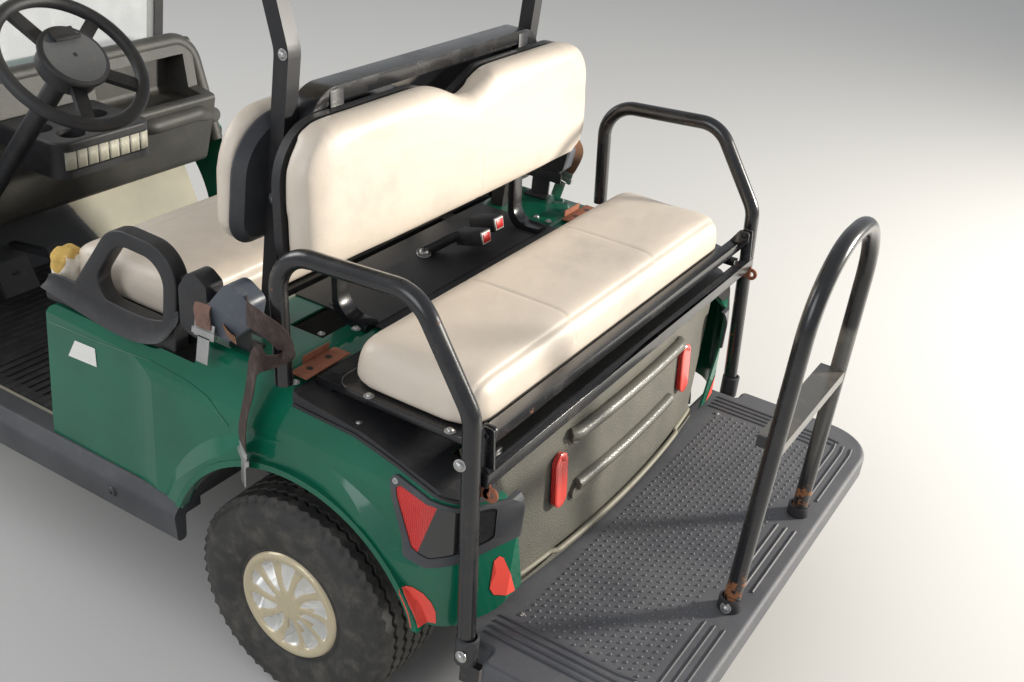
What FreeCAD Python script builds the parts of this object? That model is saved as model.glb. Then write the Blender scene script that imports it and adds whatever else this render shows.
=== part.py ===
# Golf cart with a rear-facing fold-over seat: every rigid piece as its own solid, in millimetres.
# Axes: X forward, Y to the left, Z up. Origin: on the ground, at the middle of the whole cart.
import FreeCAD, Part
import math
import os

V = FreeCAD.Vector
ORIGIN = V(0, 0, 0)
X_AXIS, Y_AXIS, Z_AXIS = V(1, 0, 0), V(0, 1, 0), V(0, 0, 1)
SIDES = (("left", 1), ("right", -1))

# Overall sizes
WHEELBASE = 1669
REAR_OVERHANG = 764
FRONT_OVERHANG = 371
NOSE_X = (WHEELBASE + REAR_OVERHANG + FRONT_OVERHANG) / 2
TAIL_X = -NOSE_X
REAR_X = TAIL_X + REAR_OVERHANG
FRONT_X = REAR_X + WHEELBASE
BODY_HALF = 600
REAR_TRACK = 2 * (BODY_HALF - 111)
FRONT_TRACK = 902
ROOF_Z = 1790
ROOF_T = 30
ROOF_HALF = BODY_HALF - 55
CLEAR = 0.3
MOVING_GAP = 6

# Tyres and wheels
TYRE_R = 228.5
TYRE_W = 200
RIM_R = 104
RIM_W = 170
RIM_WALL = 6
COVER_R = 116
COVER_SPOKES = 10
DISC_Y = 20
HUB_R = 34
DRUM_R = 90
DRUM_W = 62

# Steering
KINGPIN_IN = 124
KINGPIN_R = 15
KNUCKLE_HALF_H = 92
SPINDLE_R = 17
STEER_ARM = 100
RACK_Z = 176
RACK_BAR_R = 11
RACK_HOUSING_R = 26
STEER_WHEEL_R = 171
STEER_RIM_R = 14
STEER_CENTRE = V(225, 280, 1022)
COLUMN_ANGLE = 50
COLUMN_R = 22
COLUMN_LENGTH = 690

# Floor and chassis
FLOOR_T = 8
MAT_T = 5
FLOOR_HALF = BODY_HALF - 70
HEEL_X = 2
TOE_X = 690
RAIL_Y = BODY_HALF - 320
FRONT_RAIL_Y = 185
RAIL_W = 40
RAIL_H = 64
RAIL_Z = 262
KICK_UP = 112
FRONT_RAIL_H = 50
FLOOR_Z = RAIL_Z + RAIL_H + CLEAR + FLOOR_T + MAT_T

# Rear body
SKIN = 5
PANEL_FRONT_X = 10
SILL_Z = FLOOR_Z + 4 + CLEAR
PANEL_TOP_Z = 652
DECK_Z = 703
ARCH_R = 293
ARCH_Z = 249
ARCH_SHIFT = -22
ARCH_LIP = 12
WALL_HALF = BODY_HALF - 18
FLARE_R = 347
FLARE_TOP_R = 315
COVER_T = 4
TAIL_SKIN_X = REAR_X - 398
REAR_PANEL_HALF_LOW = BODY_HALF - 208
REAR_PANEL_HALF_HIGH = BODY_HALF - 115
REAR_PANEL_FOOT_Z = 346
REAR_PANEL_TOP_Z = 660
RIB_H = 26
RIB_OUT = 7
PANEL_RIBS = ((588, 232), (462, 222))

# Front cowl
COWL_REAR_X = 655
COWL_TOP_Z = 800
FRONT_ARCH_R = 325
FRONT_ARCH_Z = 240
DASH_HALF = BODY_HALF - 95
CUP_R = 34
CUP_DEPTH = 60
GLOVE_POCKETS = ((35 - DASH_HALF, -150), (325, DASH_HALF - 35))
DASH_TUBE_R = 22
DASH_ROLL_BEND = 80
DASH_RAIL_BEND = 34
CONSOLE_BOX = (432, 660, -122, 170)
CONSOLE_TOP_Z = 758
CONSOLE_LOW_Z = 668
CUPS = ((482, 92), (482, -24), (560, 124), (562, -44))

# Tubes and struts
HOOP_R = 16
HOOP_Y = BODY_HALF - 24
HOOP_BEND = 75
GRAB_BAR_Y = 184
STRUT = 32
CHANNEL_X = -508
CHANNEL_H = 28
CHANNEL_TOP_Z = 1149
CHANNEL_LOW_Z = 1062
CHANNEL_BEND = 70
UPRIGHT_T = 14
REAR_STRUT_Y = BODY_HALF - 200
UPRIGHT_Y = REAR_STRUT_Y - 88
UPRIGHT_W = 36
UPRIGHT_FOOT_X = -606
UPRIGHT_TOP_Z = 1142
REAR_STRUT_X = -438
FRONT_STRUT_Y = BODY_HALF - 85

# Foot platform
PLATFORM_TOP = 340
PLATFORM_H = 46
PLATFORM_HALF = BODY_HALF - 15
PLATFORM_FRONT_X = -990
PLATFORM_SKIN = 6

# Seats
SEAT_HALF = BODY_HALF - 80
BACK_LEAN = 4
BACK_CORNER = 60
BACK_SHOULDER = 105
DIP = 44
DIP_HALF = 105
FRONT_BACK_X = -363.6
FRONT_CUSHION_T = 48
SHELL_T = 20
REAR_BACK_X = -548
REAR_BACK_Z = 848
REAR_CUSHION_T = 60
REAR_BOARD_T = 18
FRONT_HINGE_X = -392
FRONT_HINGE_Z = 676
SEAT_HINGE_GAP = 42
FRONT_SEAT_FRONT_X = -15
FRONT_BASE_Z = 652
SEAT_BASE_T = 26
CUSHION_T = 88
REAR_HINGE_X = -1010
REAR_HINGE_Z = 752
REAR_BASE_Z = 704
REAR_BASE_T = 12
REAR_SEAT_FRONT_X = -686
REAR_SEAT_REAR_X = -985
SEAT_RAIL_LOW_Z = 668
SEAT_RAIL_TOP_Z = 694
SEAT_BAR_X = -640


# Shape helpers
def box(x0, x1, y0, y1, z0, z1):
    return Part.makeBox(x1 - x0, y1 - y0, z1 - z0, V(x0, y0, z0))


def rod(start, axis, radius, length):
    return Part.makeCylinder(radius, length, start, axis)


def ring(start, axis, outer, inner, length):
    return rod(start, axis, outer, length).cut(rod(start, axis, inner, length))


def fuse(shapes):
    return shapes[0].multiFuse(shapes[1:]).removeSplitter()


def both_sides(shape):
    return [shape, shape.mirror(ORIGIN, Y_AXIS)]


def side_view(u, v):
    return V(u, 0, v)


def plan_view(u, v):
    return V(u, v, 0)


def front_view(u, v):
    return V(0, u, v)


def corner_arc(point, before, after, radius):
    """Arc that rounds a corner: its two ends and the arc edge."""
    a, b = (before - point).normalize(), (after - point).normalize()
    half = a.getAngle(b) / 2
    reach = radius / math.tan(half)
    start, end = point + a * reach, point + b * reach
    middle = point + (a + b).normalize() * (radius / math.sin(half) - radius)
    return start, end, Part.Arc(start, middle, end).toShape()


def path_edges(points, radii, closed):
    """Straight runs joined by tangent arcs, one radius for each point."""
    edges = []
    count = len(points)
    last = first = None if closed else points[0]
    for i, point in enumerate(points):
        inner = closed or 0 < i < count - 1
        if inner and radii[i] > 0:
            start, end, arc = corner_arc(point, points[i - 1], points[(i + 1) % count], radii[i])
        else:
            start, end, arc = point, point, None
        if last is not None and (start - last).Length > 1e-4:
            edges.append(Part.LineSegment(last, start).toShape())
        if arc is not None:
            edges.append(arc)
        first = start if first is None else first
        last = end
    if closed and (first - last).Length > 1e-4:
        edges.append(Part.LineSegment(last, first).toShape())
    return edges


def face(rows, view=side_view):
    """Flat face from rows of (u, v, corner radius) in the given view."""
    points = [view(u, v) for u, v, _ in rows]
    edges = path_edges(points, [r for _, _, r in rows], True)
    return Part.Face(Part.Wire(edges))


def grown(flat, amount):
    return flat if amount == 0 else Part.Face(flat.makeOffset2D(amount).OuterWire)


def side_slab(rows, y0, y1):
    slab = face(rows).extrude(V(0, y1 - y0, 0))
    slab.translate(V(0, y0, 0))
    return slab


def plan_slab(rows, z0, z1):
    slab = face(rows, plan_view).extrude(V(0, 0, z1 - z0))
    slab.translate(V(0, 0, z0))
    return slab


def three_view(side, plan, front, amount):
    """Solid that fits its side, plan and front outlines, each grown by an amount."""
    reach = 4 * NOSE_X
    slabs = []
    for rows, view, way in ((side, side_view, Y_AXIS), (plan, plan_view, Z_AXIS), (front, front_view, X_AXIS)):
        slab = grown(face(rows, view), amount).extrude(way * reach)
        slab.translate(way * (-reach / 2))
        slabs.append(slab)
    return slabs[0].common(slabs[1]).common(slabs[2])


def mirrored_rows(rows):
    """Outline rows of one half, completed by their mirror image about the middle line."""
    return rows + [(u, -v, r) for u, v, r in reversed(rows)]


def mirrored_front_rows(rows):
    return rows + [(-u, v, r) for u, v, r in reversed(rows)]


def bent_tube(points, bend, radius):
    """Round tube along straight runs with one bend radius."""
    path = Part.Wire(path_edges(points, [bend] * len(points), False))
    section = Part.Wire(Part.makeCircle(radius, points[0], points[1] - points[0]))
    return path.makePipeShell([section], True, False)


def bent_bar(points, thick, y0, y1, bend):
    """Bar of rectangular section that follows points in the side view."""
    near, far = [], []
    for i, (x, z) in enumerate(points):
        before = points[max(i - 1, 0)]
        after = points[min(i + 1, len(points) - 1)]
        a = V(x - before[0], 0, z - before[1]) if i else V(after[0] - x, 0, after[1] - z)
        b = V(after[0] - x, 0, after[1] - z) if i < len(points) - 1 else a
        a, b = a.normalize(), b.normalize()
        normal = V(-(a.z + b.z), 0, a.x + b.x).normalize()
        reach = thick / 2 / math.cos(a.getAngle(b) / 2)
        near.append((x + normal.x * reach, z + normal.z * reach, bend))
        far.append((x - normal.x * reach, z - normal.z * reach, bend))
    rows = near + far[::-1]
    ends = {0, len(near) - 1, len(near), len(rows) - 1}
    rows = [(x, z, 0 if i in ends else r) for i, (x, z, r) in enumerate(rows)]
    return side_slab(rows, y0, y1)


def rounded_block(x0, x1, y0, y1, z0, z1, corner, edge):
    """Block with rounded upright corners and a rounded top edge."""
    rows = [(x0, y0, corner), (x1, y0, corner), (x1, y1, corner), (x0, y1, corner)]
    block = plan_slab(rows, z0, z1)
    top = [e for e in block.Edges if abs(e.CenterOfMass.z - z1) < 1e-3]
    return block.makeFillet(edge, top)


# Tyres and wheels, drawn about the axle line with +Y outwards
def tyre(centre):
    half = TYRE_W / 2
    rows = [(RIM_R + CLEAR, -half * 0.8, 0), (RIM_R + 22, -half * 0.9, 12), (TYRE_R - 62, -half, 30),
            (TYRE_R - 24, -half * 0.96, 16), (TYRE_R - 4, -half * 0.84, 10), (TYRE_R, -half * 0.7, 4),
            (TYRE_R, half * 0.7, 4), (TYRE_R - 4, half * 0.84, 10), (TYRE_R - 24, half * 0.96, 16),
            (TYRE_R - 62, half, 30), (RIM_R + 22, half * 0.9, 12), (RIM_R + CLEAR, half * 0.8, 0)]
    shape = face(rows, plan_view).revolve(ORIGIN, Y_AXIS, 360)
    shape.translate(centre)
    return shape


def wheel(centre, out):
    """Steel rim with its flanges, disc, hub and the ten-petal cover."""
    half = RIM_W / 2
    rows = [(RIM_R - RIM_WALL, -half, 0), (RIM_R, -half, 0), (RIM_R, half, 0), (RIM_R - RIM_WALL, half, 0)]
    barrel = face(rows, plan_view).revolve(ORIGIN, Y_AXIS, 360)
    disc = rod(V(0, DISC_Y, 0), Y_AXIS, RIM_R - RIM_WALL / 2, RIM_WALL)
    hub = rod(V(0, DISC_Y, 0), Y_AXIS, HUB_R, half - DISC_Y - 20)
    cover_rows = [(0, half - 24, 0), (COVER_R, half + 2, 0), (COVER_R, half + 7, 0), (COVER_R - 14, half + 10, 0),
                  (HUB_R, half - 8, 0), (0, half - 6, 0)]
    cover = face(cover_rows, plan_view).revolve(ORIGIN, Y_AXIS, 360)
    slot_rows = [(HUB_R + 16, 4, 4), (COVER_R - 20, 20, 8), (COVER_R - 20, -12, 8), (HUB_R + 16, -5, 4)]
    slot = face(slot_rows, side_view).extrude(V(0, 2 * half, 0))
    for i in range(COVER_SPOKES):
        cover = cover.cut(slot.rotated(ORIGIN, Y_AXIS, 360 * i / COVER_SPOKES))
    shape = fuse([barrel, disc, hub, cover])
    if out < 0:
        shape = shape.mirror(ORIGIN, Y_AXIS)
    shape.translate(centre)
    return shape


# Chassis, axles and steering gear
def chassis_frame():
    """Narrow rails between the front wheels, wide rails behind them that kick up over the axle."""
    ends = RAIL_Z + RAIL_H / 2
    kick = ends + KICK_UP
    join_x = TOE_X - 60
    low = PLATFORM_TOP - PLATFORM_H - CLEAR - RAIL_H / 2
    route = [(join_x, ends), (REAR_X + 250, ends), (REAR_X + 150, kick),
             (REAR_X - 130, kick), (REAR_X - 300, low), (TAIL_X + 40, low)]
    rail = bent_bar(route, RAIL_H, RAIL_Y - RAIL_W / 2, RAIL_Y + RAIL_W / 2, 20)
    nose = box(join_x - 40, NOSE_X - 130, FRONT_RAIL_Y - RAIL_W / 2, FRONT_RAIL_Y + RAIL_W / 2,
               RAIL_Z, RAIL_Z + FRONT_RAIL_H)
    pieces = both_sides(rail) + both_sides(nose)
    for x, z, reach in ((NOSE_X - 155, ends - 8, FRONT_RAIL_Y), (join_x - 25, ends - 8, RAIL_Y + 20),
                        (HEEL_X + 60, ends, RAIL_Y), (REAR_X + 290, ends - 10, RAIL_Y),
                        (REAR_X - 130, kick, RAIL_Y), (REAR_X - 380, low, RAIL_Y),
                        (TAIL_X + 60, low + 10, RAIL_Y)):
        pieces.append(box(x - 25, x + 25, -reach, reach, z - 22, z + 22))
    hoop_beam_x = REAR_X - 395
    reach = HOOP_Y - HOOP_R - CLEAR
    pieces.append(box(hoop_beam_x - 20, hoop_beam_x + 20, -reach, reach, low - 12, low + 32))
    for x in (HEEL_X + 60, TOE_X - 120):
        pieces.append(box(x - 18, x + 18, -FLOOR_HALF, FLOOR_HALF, ends - 12, ends + 32))
    return fuse(pieces)


def rear_axle():
    centre = V(REAR_X, 0, TYRE_R)
    brake_y = REAR_TRACK / 2 + DISC_Y - DRUM_W - CLEAR
    tube = rod(centre + V(0, -brake_y, 0), Y_AXIS, 34, 2 * brake_y)
    case = rod(centre + V(0, -70, 0), Y_AXIS, 96, 120)
    motor = rod(centre + V(60, 40 - RAIL_Y, 30), Y_AXIS, 88, 190)
    drums = [rod(centre + V(0, brake_y, 0), Y_AXIS, DRUM_R, DRUM_W)]
    drums.append(drums[0].mirror(ORIGIN, Y_AXIS))
    return fuse([tube, case, motor] + drums)


def rear_springs():
    base = TYRE_R + 34 + CLEAR
    rows = [(REAR_X - 290, base + 34, 0), (REAR_X - 60, base, 300), (REAR_X + 60, base, 300),
            (REAR_X + 290, base + 34, 0), (REAR_X + 290, base + 44, 0), (REAR_X + 60, base + 30, 300),
            (REAR_X - 60, base + 30, 300), (REAR_X - 290, base + 44, 0)]
    leaf = side_slab(rows, RAIL_Y + RAIL_W / 2 + 6, RAIL_Y + RAIL_W / 2 + 50)
    pin_rear = rod(V(REAR_X - 290, RAIL_Y + RAIL_W / 2 + CLEAR, base + 39), Y_AXIS, 12, 50)
    pin_front = rod(V(REAR_X + 290, RAIL_Y + RAIL_W / 2 + CLEAR, base + 39), Y_AXIS, 12, 50)
    return Part.makeCompound(both_sides(fuse([leaf, pin_rear, pin_front])))


def kingpin_y():
    return FRONT_TRACK / 2 - KINGPIN_IN


def front_suspension():
    z0 = TYRE_R
    rack_clear = STEER_ARM - RACK_HOUSING_R - CLEAR
    pieces = [box(FRONT_X - rack_clear, FRONT_X + 60, -170, 170, z0 - 60, RAIL_Z - CLEAR)]
    for z in (z0 - KNUCKLE_HALF_H - 12 - CLEAR, z0 + KNUCKLE_HALF_H + CLEAR):
        rows = [(FRONT_X - 110, 130, 10), (FRONT_X - 14, kingpin_y() + 12, 10),
                (FRONT_X + 14, kingpin_y() + 12, 10), (FRONT_X + 110, 130, 10), (FRONT_X + 60, 120, 10),
                (FRONT_X, 230, 20), (FRONT_X - 60, 120, 10)]
        arm = plan_slab(rows, z, z + 12)
        pieces += both_sides(arm)
    inner = FRONT_RAIL_Y - RAIL_W / 2 - CLEAR
    pieces += both_sides(box(FRONT_X - 70, FRONT_X + 90, 110, inner, z0 - KNUCKLE_HALF_H - 12 - CLEAR,
                             z0 + KNUCKLE_HALF_H + 12 + CLEAR))
    return fuse(pieces)


def knuckle(out):
    z0 = TYRE_R
    y0 = kingpin_y()
    pin = rod(V(FRONT_X, y0, z0 - KNUCKLE_HALF_H), Z_AXIS, KINGPIN_R, 2 * KNUCKLE_HALF_H)
    spindle = rod(V(FRONT_X, y0, z0), Y_AXIS, SPINDLE_R, KINGPIN_IN + DISC_Y - CLEAR)
    plate = rod(V(FRONT_X, y0 + 30, z0), Y_AXIS, DRUM_R - 30, 12)
    arm = box(FRONT_X - STEER_ARM - 12, FRONT_X, y0 - 12, y0 + 12, z0 - 26, z0 - 12)
    shape = fuse([pin, spindle, plate, arm])
    return shape if out > 0 else shape.mirror(ORIGIN, Y_AXIS)


def steering_rack():
    """Rack bar that slides across the cart, with a ball joint at each end."""
    x = FRONT_X - STEER_ARM
    end = kingpin_y()
    bar = rod(V(x, -end, RACK_Z), Y_AXIS, RACK_BAR_R, 2 * end)
    balls = [Part.makeSphere(13, V(x, side * end, RACK_Z)) for _, side in SIDES]
    return fuse([bar] + balls)


def steering_column():
    axis = column_axis()
    start = STEER_CENTRE + axis * 66
    tube = ring(start, axis, COLUMN_R, COLUMN_R - 4, COLUMN_LENGTH)
    x = FRONT_X - STEER_ARM
    housing = ring(V(x, -130, RACK_Z), Y_AXIS, RACK_HOUSING_R, RACK_BAR_R + CLEAR, 260)
    return Part.makeCompound([tube, housing])


def column_axis():
    angle = math.radians(COLUMN_ANGLE)
    return V(math.cos(angle), 0, -math.sin(angle))


def steering_wheel():
    """Rim, four spokes, hub pad and the shaft in the column, drawn flat and then tilted."""
    rim = Part.makeTorus(STEER_WHEEL_R - STEER_RIM_R, STEER_RIM_R)
    pad = rod(V(0, 0, -26), Z_AXIS, 66, 42)
    spokes = []
    for angle in (20, 160, 235, 305):
        spoke = box(40, STEER_WHEEL_R - STEER_RIM_R, -15, 15, -12, 0)
        spokes.append(spoke.rotated(ORIGIN, Z_AXIS, angle))
    boss = rod(V(0, 0, -58), Z_AXIS, 26, 34)
    shaft = rod(V(0, 0, -160), Z_AXIS, COLUMN_R - 4 - CLEAR, 110)
    shape = fuse([rim, pad, boss, shaft] + spokes)
    shape.rotate(ORIGIN, Y_AXIS, -(90 - COLUMN_ANGLE))
    shape.translate(STEER_CENTRE)
    return shape


# Floor, running boards and front end
def floor_pan():
    z0, z1 = FLOOR_Z - FLOOR_T - MAT_T, FLOOR_Z - MAT_T
    floor = box(HEEL_X, TOE_X, -FLOOR_HALF, FLOOR_HALF, z0, z1)
    heel = box(HEEL_X, HEEL_X + 6, -FLOOR_HALF, FLOOR_HALF, z1, PANEL_TOP_Z - 20)
    return fuse([floor, heel, toe_board(0)])


def toe_board(amount):
    """Sloping front end of the floor, up to the knee panel."""
    z0 = FLOOR_Z - FLOOR_T - MAT_T
    rows = [(TOE_X - 14, z0, 0), (TOE_X, z0, 0), (TOE_X + 66, z0 + 132, 0), (TOE_X + 52, z0 + 132, 0)]
    slab = grown(face(rows), amount).extrude(V(0, 2 * FLOOR_HALF - 40, 0))
    slab.translate(V(0, -FLOOR_HALF + 20, 0))
    return slab


def floor_mat():
    z0 = FLOOR_Z - MAT_T + CLEAR
    mat = box(HEEL_X + 12, TOE_X - 20, -FLOOR_HALF + 14, FLOOR_HALF - 14, z0, z0 + MAT_T)
    pieces = [mat]
    for i in range(9):
        x = 120 + i * 24
        pieces.append(box(x, x + 8, -FLOOR_HALF + 40, FLOOR_HALF - 40, z0 + MAT_T, z0 + MAT_T + 3))
    return fuse(pieces)


def running_boards():
    """Dark sills below the doors' opening, from the front arch to the rear one."""
    rows = [(FLOOR_HALF + CLEAR, FLOOR_Z - 30, 0), (FLOOR_HALF + CLEAR, FLOOR_Z + 4, 4),
            (BODY_HALF - 22, FLOOR_Z + 4, 8), (BODY_HALF, FLOOR_Z - 22, 18), (BODY_HALF - 8, FLOOR_Z - 88, 10),
            (BODY_HALF - 30, FLOOR_Z - 88, 8), (BODY_HALF - 30, FLOOR_Z - 30, 6)]
    sill = face(rows, front_view).extrude(V(COWL_REAR_X - CLEAR - (REAR_X + ARCH_R - 20), 0, 0))
    sill.translate(V(REAR_X + ARCH_R - 20, 0, 0))
    return Part.makeCompound(both_sides(sill))


COWL_SIDE = [(COWL_REAR_X, 300, 10), (COWL_REAR_X - 5, 560, 40), (COWL_REAR_X + 90, 700, 60),
             (COWL_REAR_X + 180, COWL_TOP_Z, 60), (FRONT_X + 120, 730, 240), (NOSE_X - 40, 590, 80),
             (NOSE_X - 12, 470, 60), (NOSE_X - 12, 300, 20)]
COWL_HALF = BODY_HALF - 10
COWL_PLAN = mirrored_rows([(COWL_REAR_X, -COWL_HALF, 10), (FRONT_X, -COWL_HALF, 300),
                           (NOSE_X - 90, 120 - COWL_HALF, 120), (NOSE_X - 12, 290 - COWL_HALF, 120)])
COWL_FRONT = mirrored_front_rows([(-COWL_HALF - 2, 280, 10), (-COWL_HALF - 2, 560, 120),
                                  (50 - COWL_HALF, 720, 120), (250 - COWL_HALF, 812, 200)])


def cowl_form(amount):
    return three_view(COWL_SIDE, COWL_PLAN, COWL_FRONT, amount)


def front_cowl():
    """Green front body: shell with open wheel arches, lamp pockets and room for the dashboard."""
    inner = cowl_form(-SKIN)
    inner = inner.fuse([inner.translated(V(-2 * SKIN, 0, 0)), inner.translated(V(0, 0, -2 * SKIN))])
    shell = cowl_form(0).cut(inner)
    arch = rod(V(FRONT_X, -BODY_HALF - 10, FRONT_ARCH_Z), Y_AXIS, FRONT_ARCH_R, 2 * BODY_HALF + 20)
    keep = box(FRONT_X - 400, FRONT_X + 400, -FRONT_RAIL_Y - 30, FRONT_RAIL_Y + 30, 200, 900)
    shell = shell.cut(arch.cut(keep))
    shell = shell.cut(dash_block(CLEAR))
    for lamp in both_sides(lamp_block(CLEAR)):
        shell = shell.cut(lamp)
    shell = shell.cut(box(COWL_REAR_X - 50, COWL_REAR_X + 30, -FLOOR_HALF, FLOOR_HALF, 200, 900))
    return max(shell.Solids, key=lambda s: s.Volume)


def front_bumper():
    rows = mirrored_rows([(NOSE_X - 150, -460, 20), (NOSE_X, -330, 90)])
    return plan_slab(rows, 302, 380).cut(cowl_form(CLEAR)).cut(box(0, NOSE_X - 110, -900, 900, 200, 500))


def lamp_block(amount):
    rows = [(250, 470, 16), (380, 478, 16), (370, 548, 16), (256, 540, 16)]
    block = grown(face(rows, front_view), amount).extrude(V(110 + 2 * amount, 0, 0))
    block.translate(V(NOSE_X - 95 - amount, 0, 0))
    return block


def headlamps():
    lamp = lamp_block(0).common(cowl_form(2))
    return Part.makeCompound(both_sides(lamp))


def column_slot():
    """Room round the steering column through the dash."""
    start = STEER_CENTRE + column_axis() * 66
    return rod(start, column_axis(), COLUMN_R + CLEAR, COLUMN_LENGTH)


DASH_SIDE = [(TOE_X + 44, 470, 0), (640, 500, 30), (606, 650, 30), (598, 704, 12), (668, 716, 0),
             (694, 850, 12), (766, 838, 20), (826, 784, 6), (770, 704, 20)]


def dash_block(amount):
    block = grown(face(DASH_SIDE), amount).extrude(V(0, 2 * DASH_HALF + 2 * amount, 0))
    block.translate(V(0, -DASH_HALF - amount, 0))
    return block


def console_block(amount):
    x0, x1, y0, y1 = CONSOLE_BOX
    rows = [(x0 - amount, y0 - amount, 40), (x1 + amount, y0 - amount, 20), (x1 + amount, y1 + amount, 20),
            (x0 - amount, y1 + amount, 40)]
    return plan_slab(rows, CONSOLE_LOW_Z - amount, CONSOLE_TOP_Z)


def dashboard():
    """Knee panel, two glove pockets below a hood, the roll along its edge and the passenger's grab rail."""
    body = dash_block(0)
    pocket_rows = [(622, 688, 12), (616, 740, 0), (640, 800, 0), (702, 812, 12), (752, 800, 16), (748, 690, 20)]
    for y0, y1 in GLOVE_POCKETS:
        body = body.cut(side_slab(pocket_rows, y0, y1))
    body = body.cut(console_block(CLEAR))
    side = [V(655, DASH_HALF + 51, 548), V(712, DASH_HALF + 7, 842)]
    roll = bent_tube(side + [V(p.x, -p.y, p.z) for p in reversed(side)], DASH_ROLL_BEND, DASH_TUBE_R)
    route = [V(650, -216, 662), V(598, -262, 662), V(604, 65 - DASH_HALF, 662), V(652, -43 - DASH_HALF, 622)]
    rail = bent_tube(route, DASH_RAIL_BEND, DASH_TUBE_R)
    shape = fuse([body, rail, roll])
    return shape.cut(column_slot()).cut(cowl_form(CLEAR).cut(box(0, NOSE_X, -DASH_HALF, DASH_HALF, 0, 900)))


def cup_console():
    """Raised console with four cup pockets."""
    block = console_block(0)
    top = [e for e in block.Edges if abs(e.CenterOfMass.z - CONSOLE_TOP_Z) < 1e-3]
    block = block.makeFillet(8, top)
    for x, y in CUPS:
        block = block.cut(rod(V(x, y, CONSOLE_TOP_Z - CUP_DEPTH), Z_AXIS, CUP_R, 2 * CUP_DEPTH))
    return block.cut(column_slot())


def windscreen():
    rows = [(836, COWL_TOP_Z - 40, 0), (840, COWL_TOP_Z - 40, 0), (766, ROOF_Z - 90, 0), (762, ROOF_Z - 90, 0)]
    reach = FRONT_STRUT_Y - STRUT / 2 - CLEAR
    return side_slab(rows, -reach, reach).cut(cowl_form(CLEAR))


def canopy_struts():
    """Two front struts on the cowl and two bent rear struts on the deck, up to the canopy."""
    half = STRUT / 2
    room = box(-900, 1200, -900, 900, DECK_Z + CLEAR, ROOF_Z - ROOF_T - CLEAR)
    front = bent_bar([(854, 700), (762, ROOF_Z)], STRUT, FRONT_STRUT_Y - half, FRONT_STRUT_Y + half, 0)
    front = front.cut(cowl_form(CLEAR)).cut(dash_block(CLEAR)).common(room)
    rear_route = [(REAR_STRUT_X + 2, DECK_Z - 20), (REAR_STRUT_X - 36, 1220), (REAR_STRUT_X + 150, ROOF_Z)]
    rear = bent_bar(rear_route, STRUT, REAR_STRUT_Y - half, REAR_STRUT_Y + half, 60).common(room)
    front = max(front.Solids, key=lambda s: s.Volume)
    return Part.makeCompound(both_sides(front) + both_sides(rear))


def backrest_frame():
    """Shiny channel between the rear struts, with two uprights that carry the rear backrest."""
    reach = REAR_STRUT_Y - STRUT / 2 - CLEAR
    bend, low, top = CHANNEL_BEND, CHANNEL_LOW_Z, CHANNEL_TOP_Z
    outer = [(-reach, low, 0), (-reach, top, bend), (reach, top, bend), (reach, low, 0)]
    inner = [(reach - CHANNEL_H, low, 0), (reach - CHANNEL_H, top - CHANNEL_H, bend - CHANNEL_H),
             (CHANNEL_H - reach, top - CHANNEL_H, bend - CHANNEL_H), (CHANNEL_H - reach, low, 0)]
    channel = face(outer + inner, front_view).extrude(V(REAR_STRUT_X - 20 - CHANNEL_X, 0, 0))
    channel.translate(V(CHANNEL_X, 0, 0))
    low_z = DECK_Z + CLEAR + UPRIGHT_T / 2
    lean = math.tan(math.radians(BACK_LEAN))
    face_x = REAR_BACK_X + REAR_BOARD_T + CLEAR + UPRIGHT_T / 2
    route = [(face_x + (UPRIGHT_TOP_Z - REAR_BACK_Z) * lean, UPRIGHT_TOP_Z),
             (face_x + (low_z - REAR_BACK_Z) * lean, low_z), (UPRIGHT_FOOT_X, low_z)]
    half = UPRIGHT_W / 2
    uprights = [bent_bar(route, UPRIGHT_T, y - half, y + half, 44) for y in (-UPRIGHT_Y, UPRIGHT_Y)]
    return fuse([channel] + uprights)


def canopy_roof():
    rows = mirrored_rows([(-560, -ROOF_HALF, 110), (900, -ROOF_HALF, 110)])
    outer = plan_slab(rows, ROOF_Z - 60, ROOF_Z)
    top = [e for e in outer.Edges if abs(e.CenterOfMass.z - ROOF_Z) < 1e-3]
    outer = outer.makeFillet(28, top)
    inner = grown(face(rows, plan_view), -SKIN - 1).extrude(V(0, 0, 60 - ROOF_T + 1))
    inner.translate(V(0, 0, ROOF_Z - 61))
    return outer.cut(inner)


# Seats
def two_lobes(half, z0, z1):
    """Front outline of a backrest with two round shoulders and a dip between them."""
    rows = [(-half, z0, BACK_CORNER), (-half, z1, BACK_SHOULDER), (-DIP_HALF, z1, DIP_HALF - 20),
            (0, z1 - DIP, DIP)]
    return rows + [(-u, v, r) for u, v, r in reversed(rows[:3])]


def backrest(face_x, z_low, layers, rows, lean):
    """Layer of a backrest between two depths behind its face; the whole leans back as it rises."""
    near, far = layers
    slab = face(rows, front_view).extrude(V(far - near, 0, 0))
    slab.translate(V(face_x + near, 0, 0))
    slab.rotate(V(face_x, 0, z_low), Y_AXIS, lean)
    return slab


FRONT_BACK_ROWS = (495, 858, 1118)
REAR_BACK_ROWS = (498, REAR_BACK_Z, 1124)


def front_backrest_cushion():
    rows = two_lobes(*FRONT_BACK_ROWS)
    return backrest(FRONT_BACK_X, 858, (-FRONT_CUSHION_T, 0), rows, -BACK_LEAN)


def front_backrest_shell():
    half, z0, z1 = FRONT_BACK_ROWS
    rows = two_lobes(half - 8, z0 + 8, z1 - 8)
    back = -FRONT_CUSHION_T - CLEAR
    shell = backrest(FRONT_BACK_X, z0, (back - SHELL_T, back), rows, 0)
    rim = [e for e in shell.Edges if abs(e.CenterOfMass.x - (FRONT_BACK_X + back - SHELL_T)) < 1e-3]
    shell = shell.makeChamfer(SHELL_T - 3, rim)
    shell.rotate(V(FRONT_BACK_X, 0, z0), Y_AXIS, -BACK_LEAN)
    return shell


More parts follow.
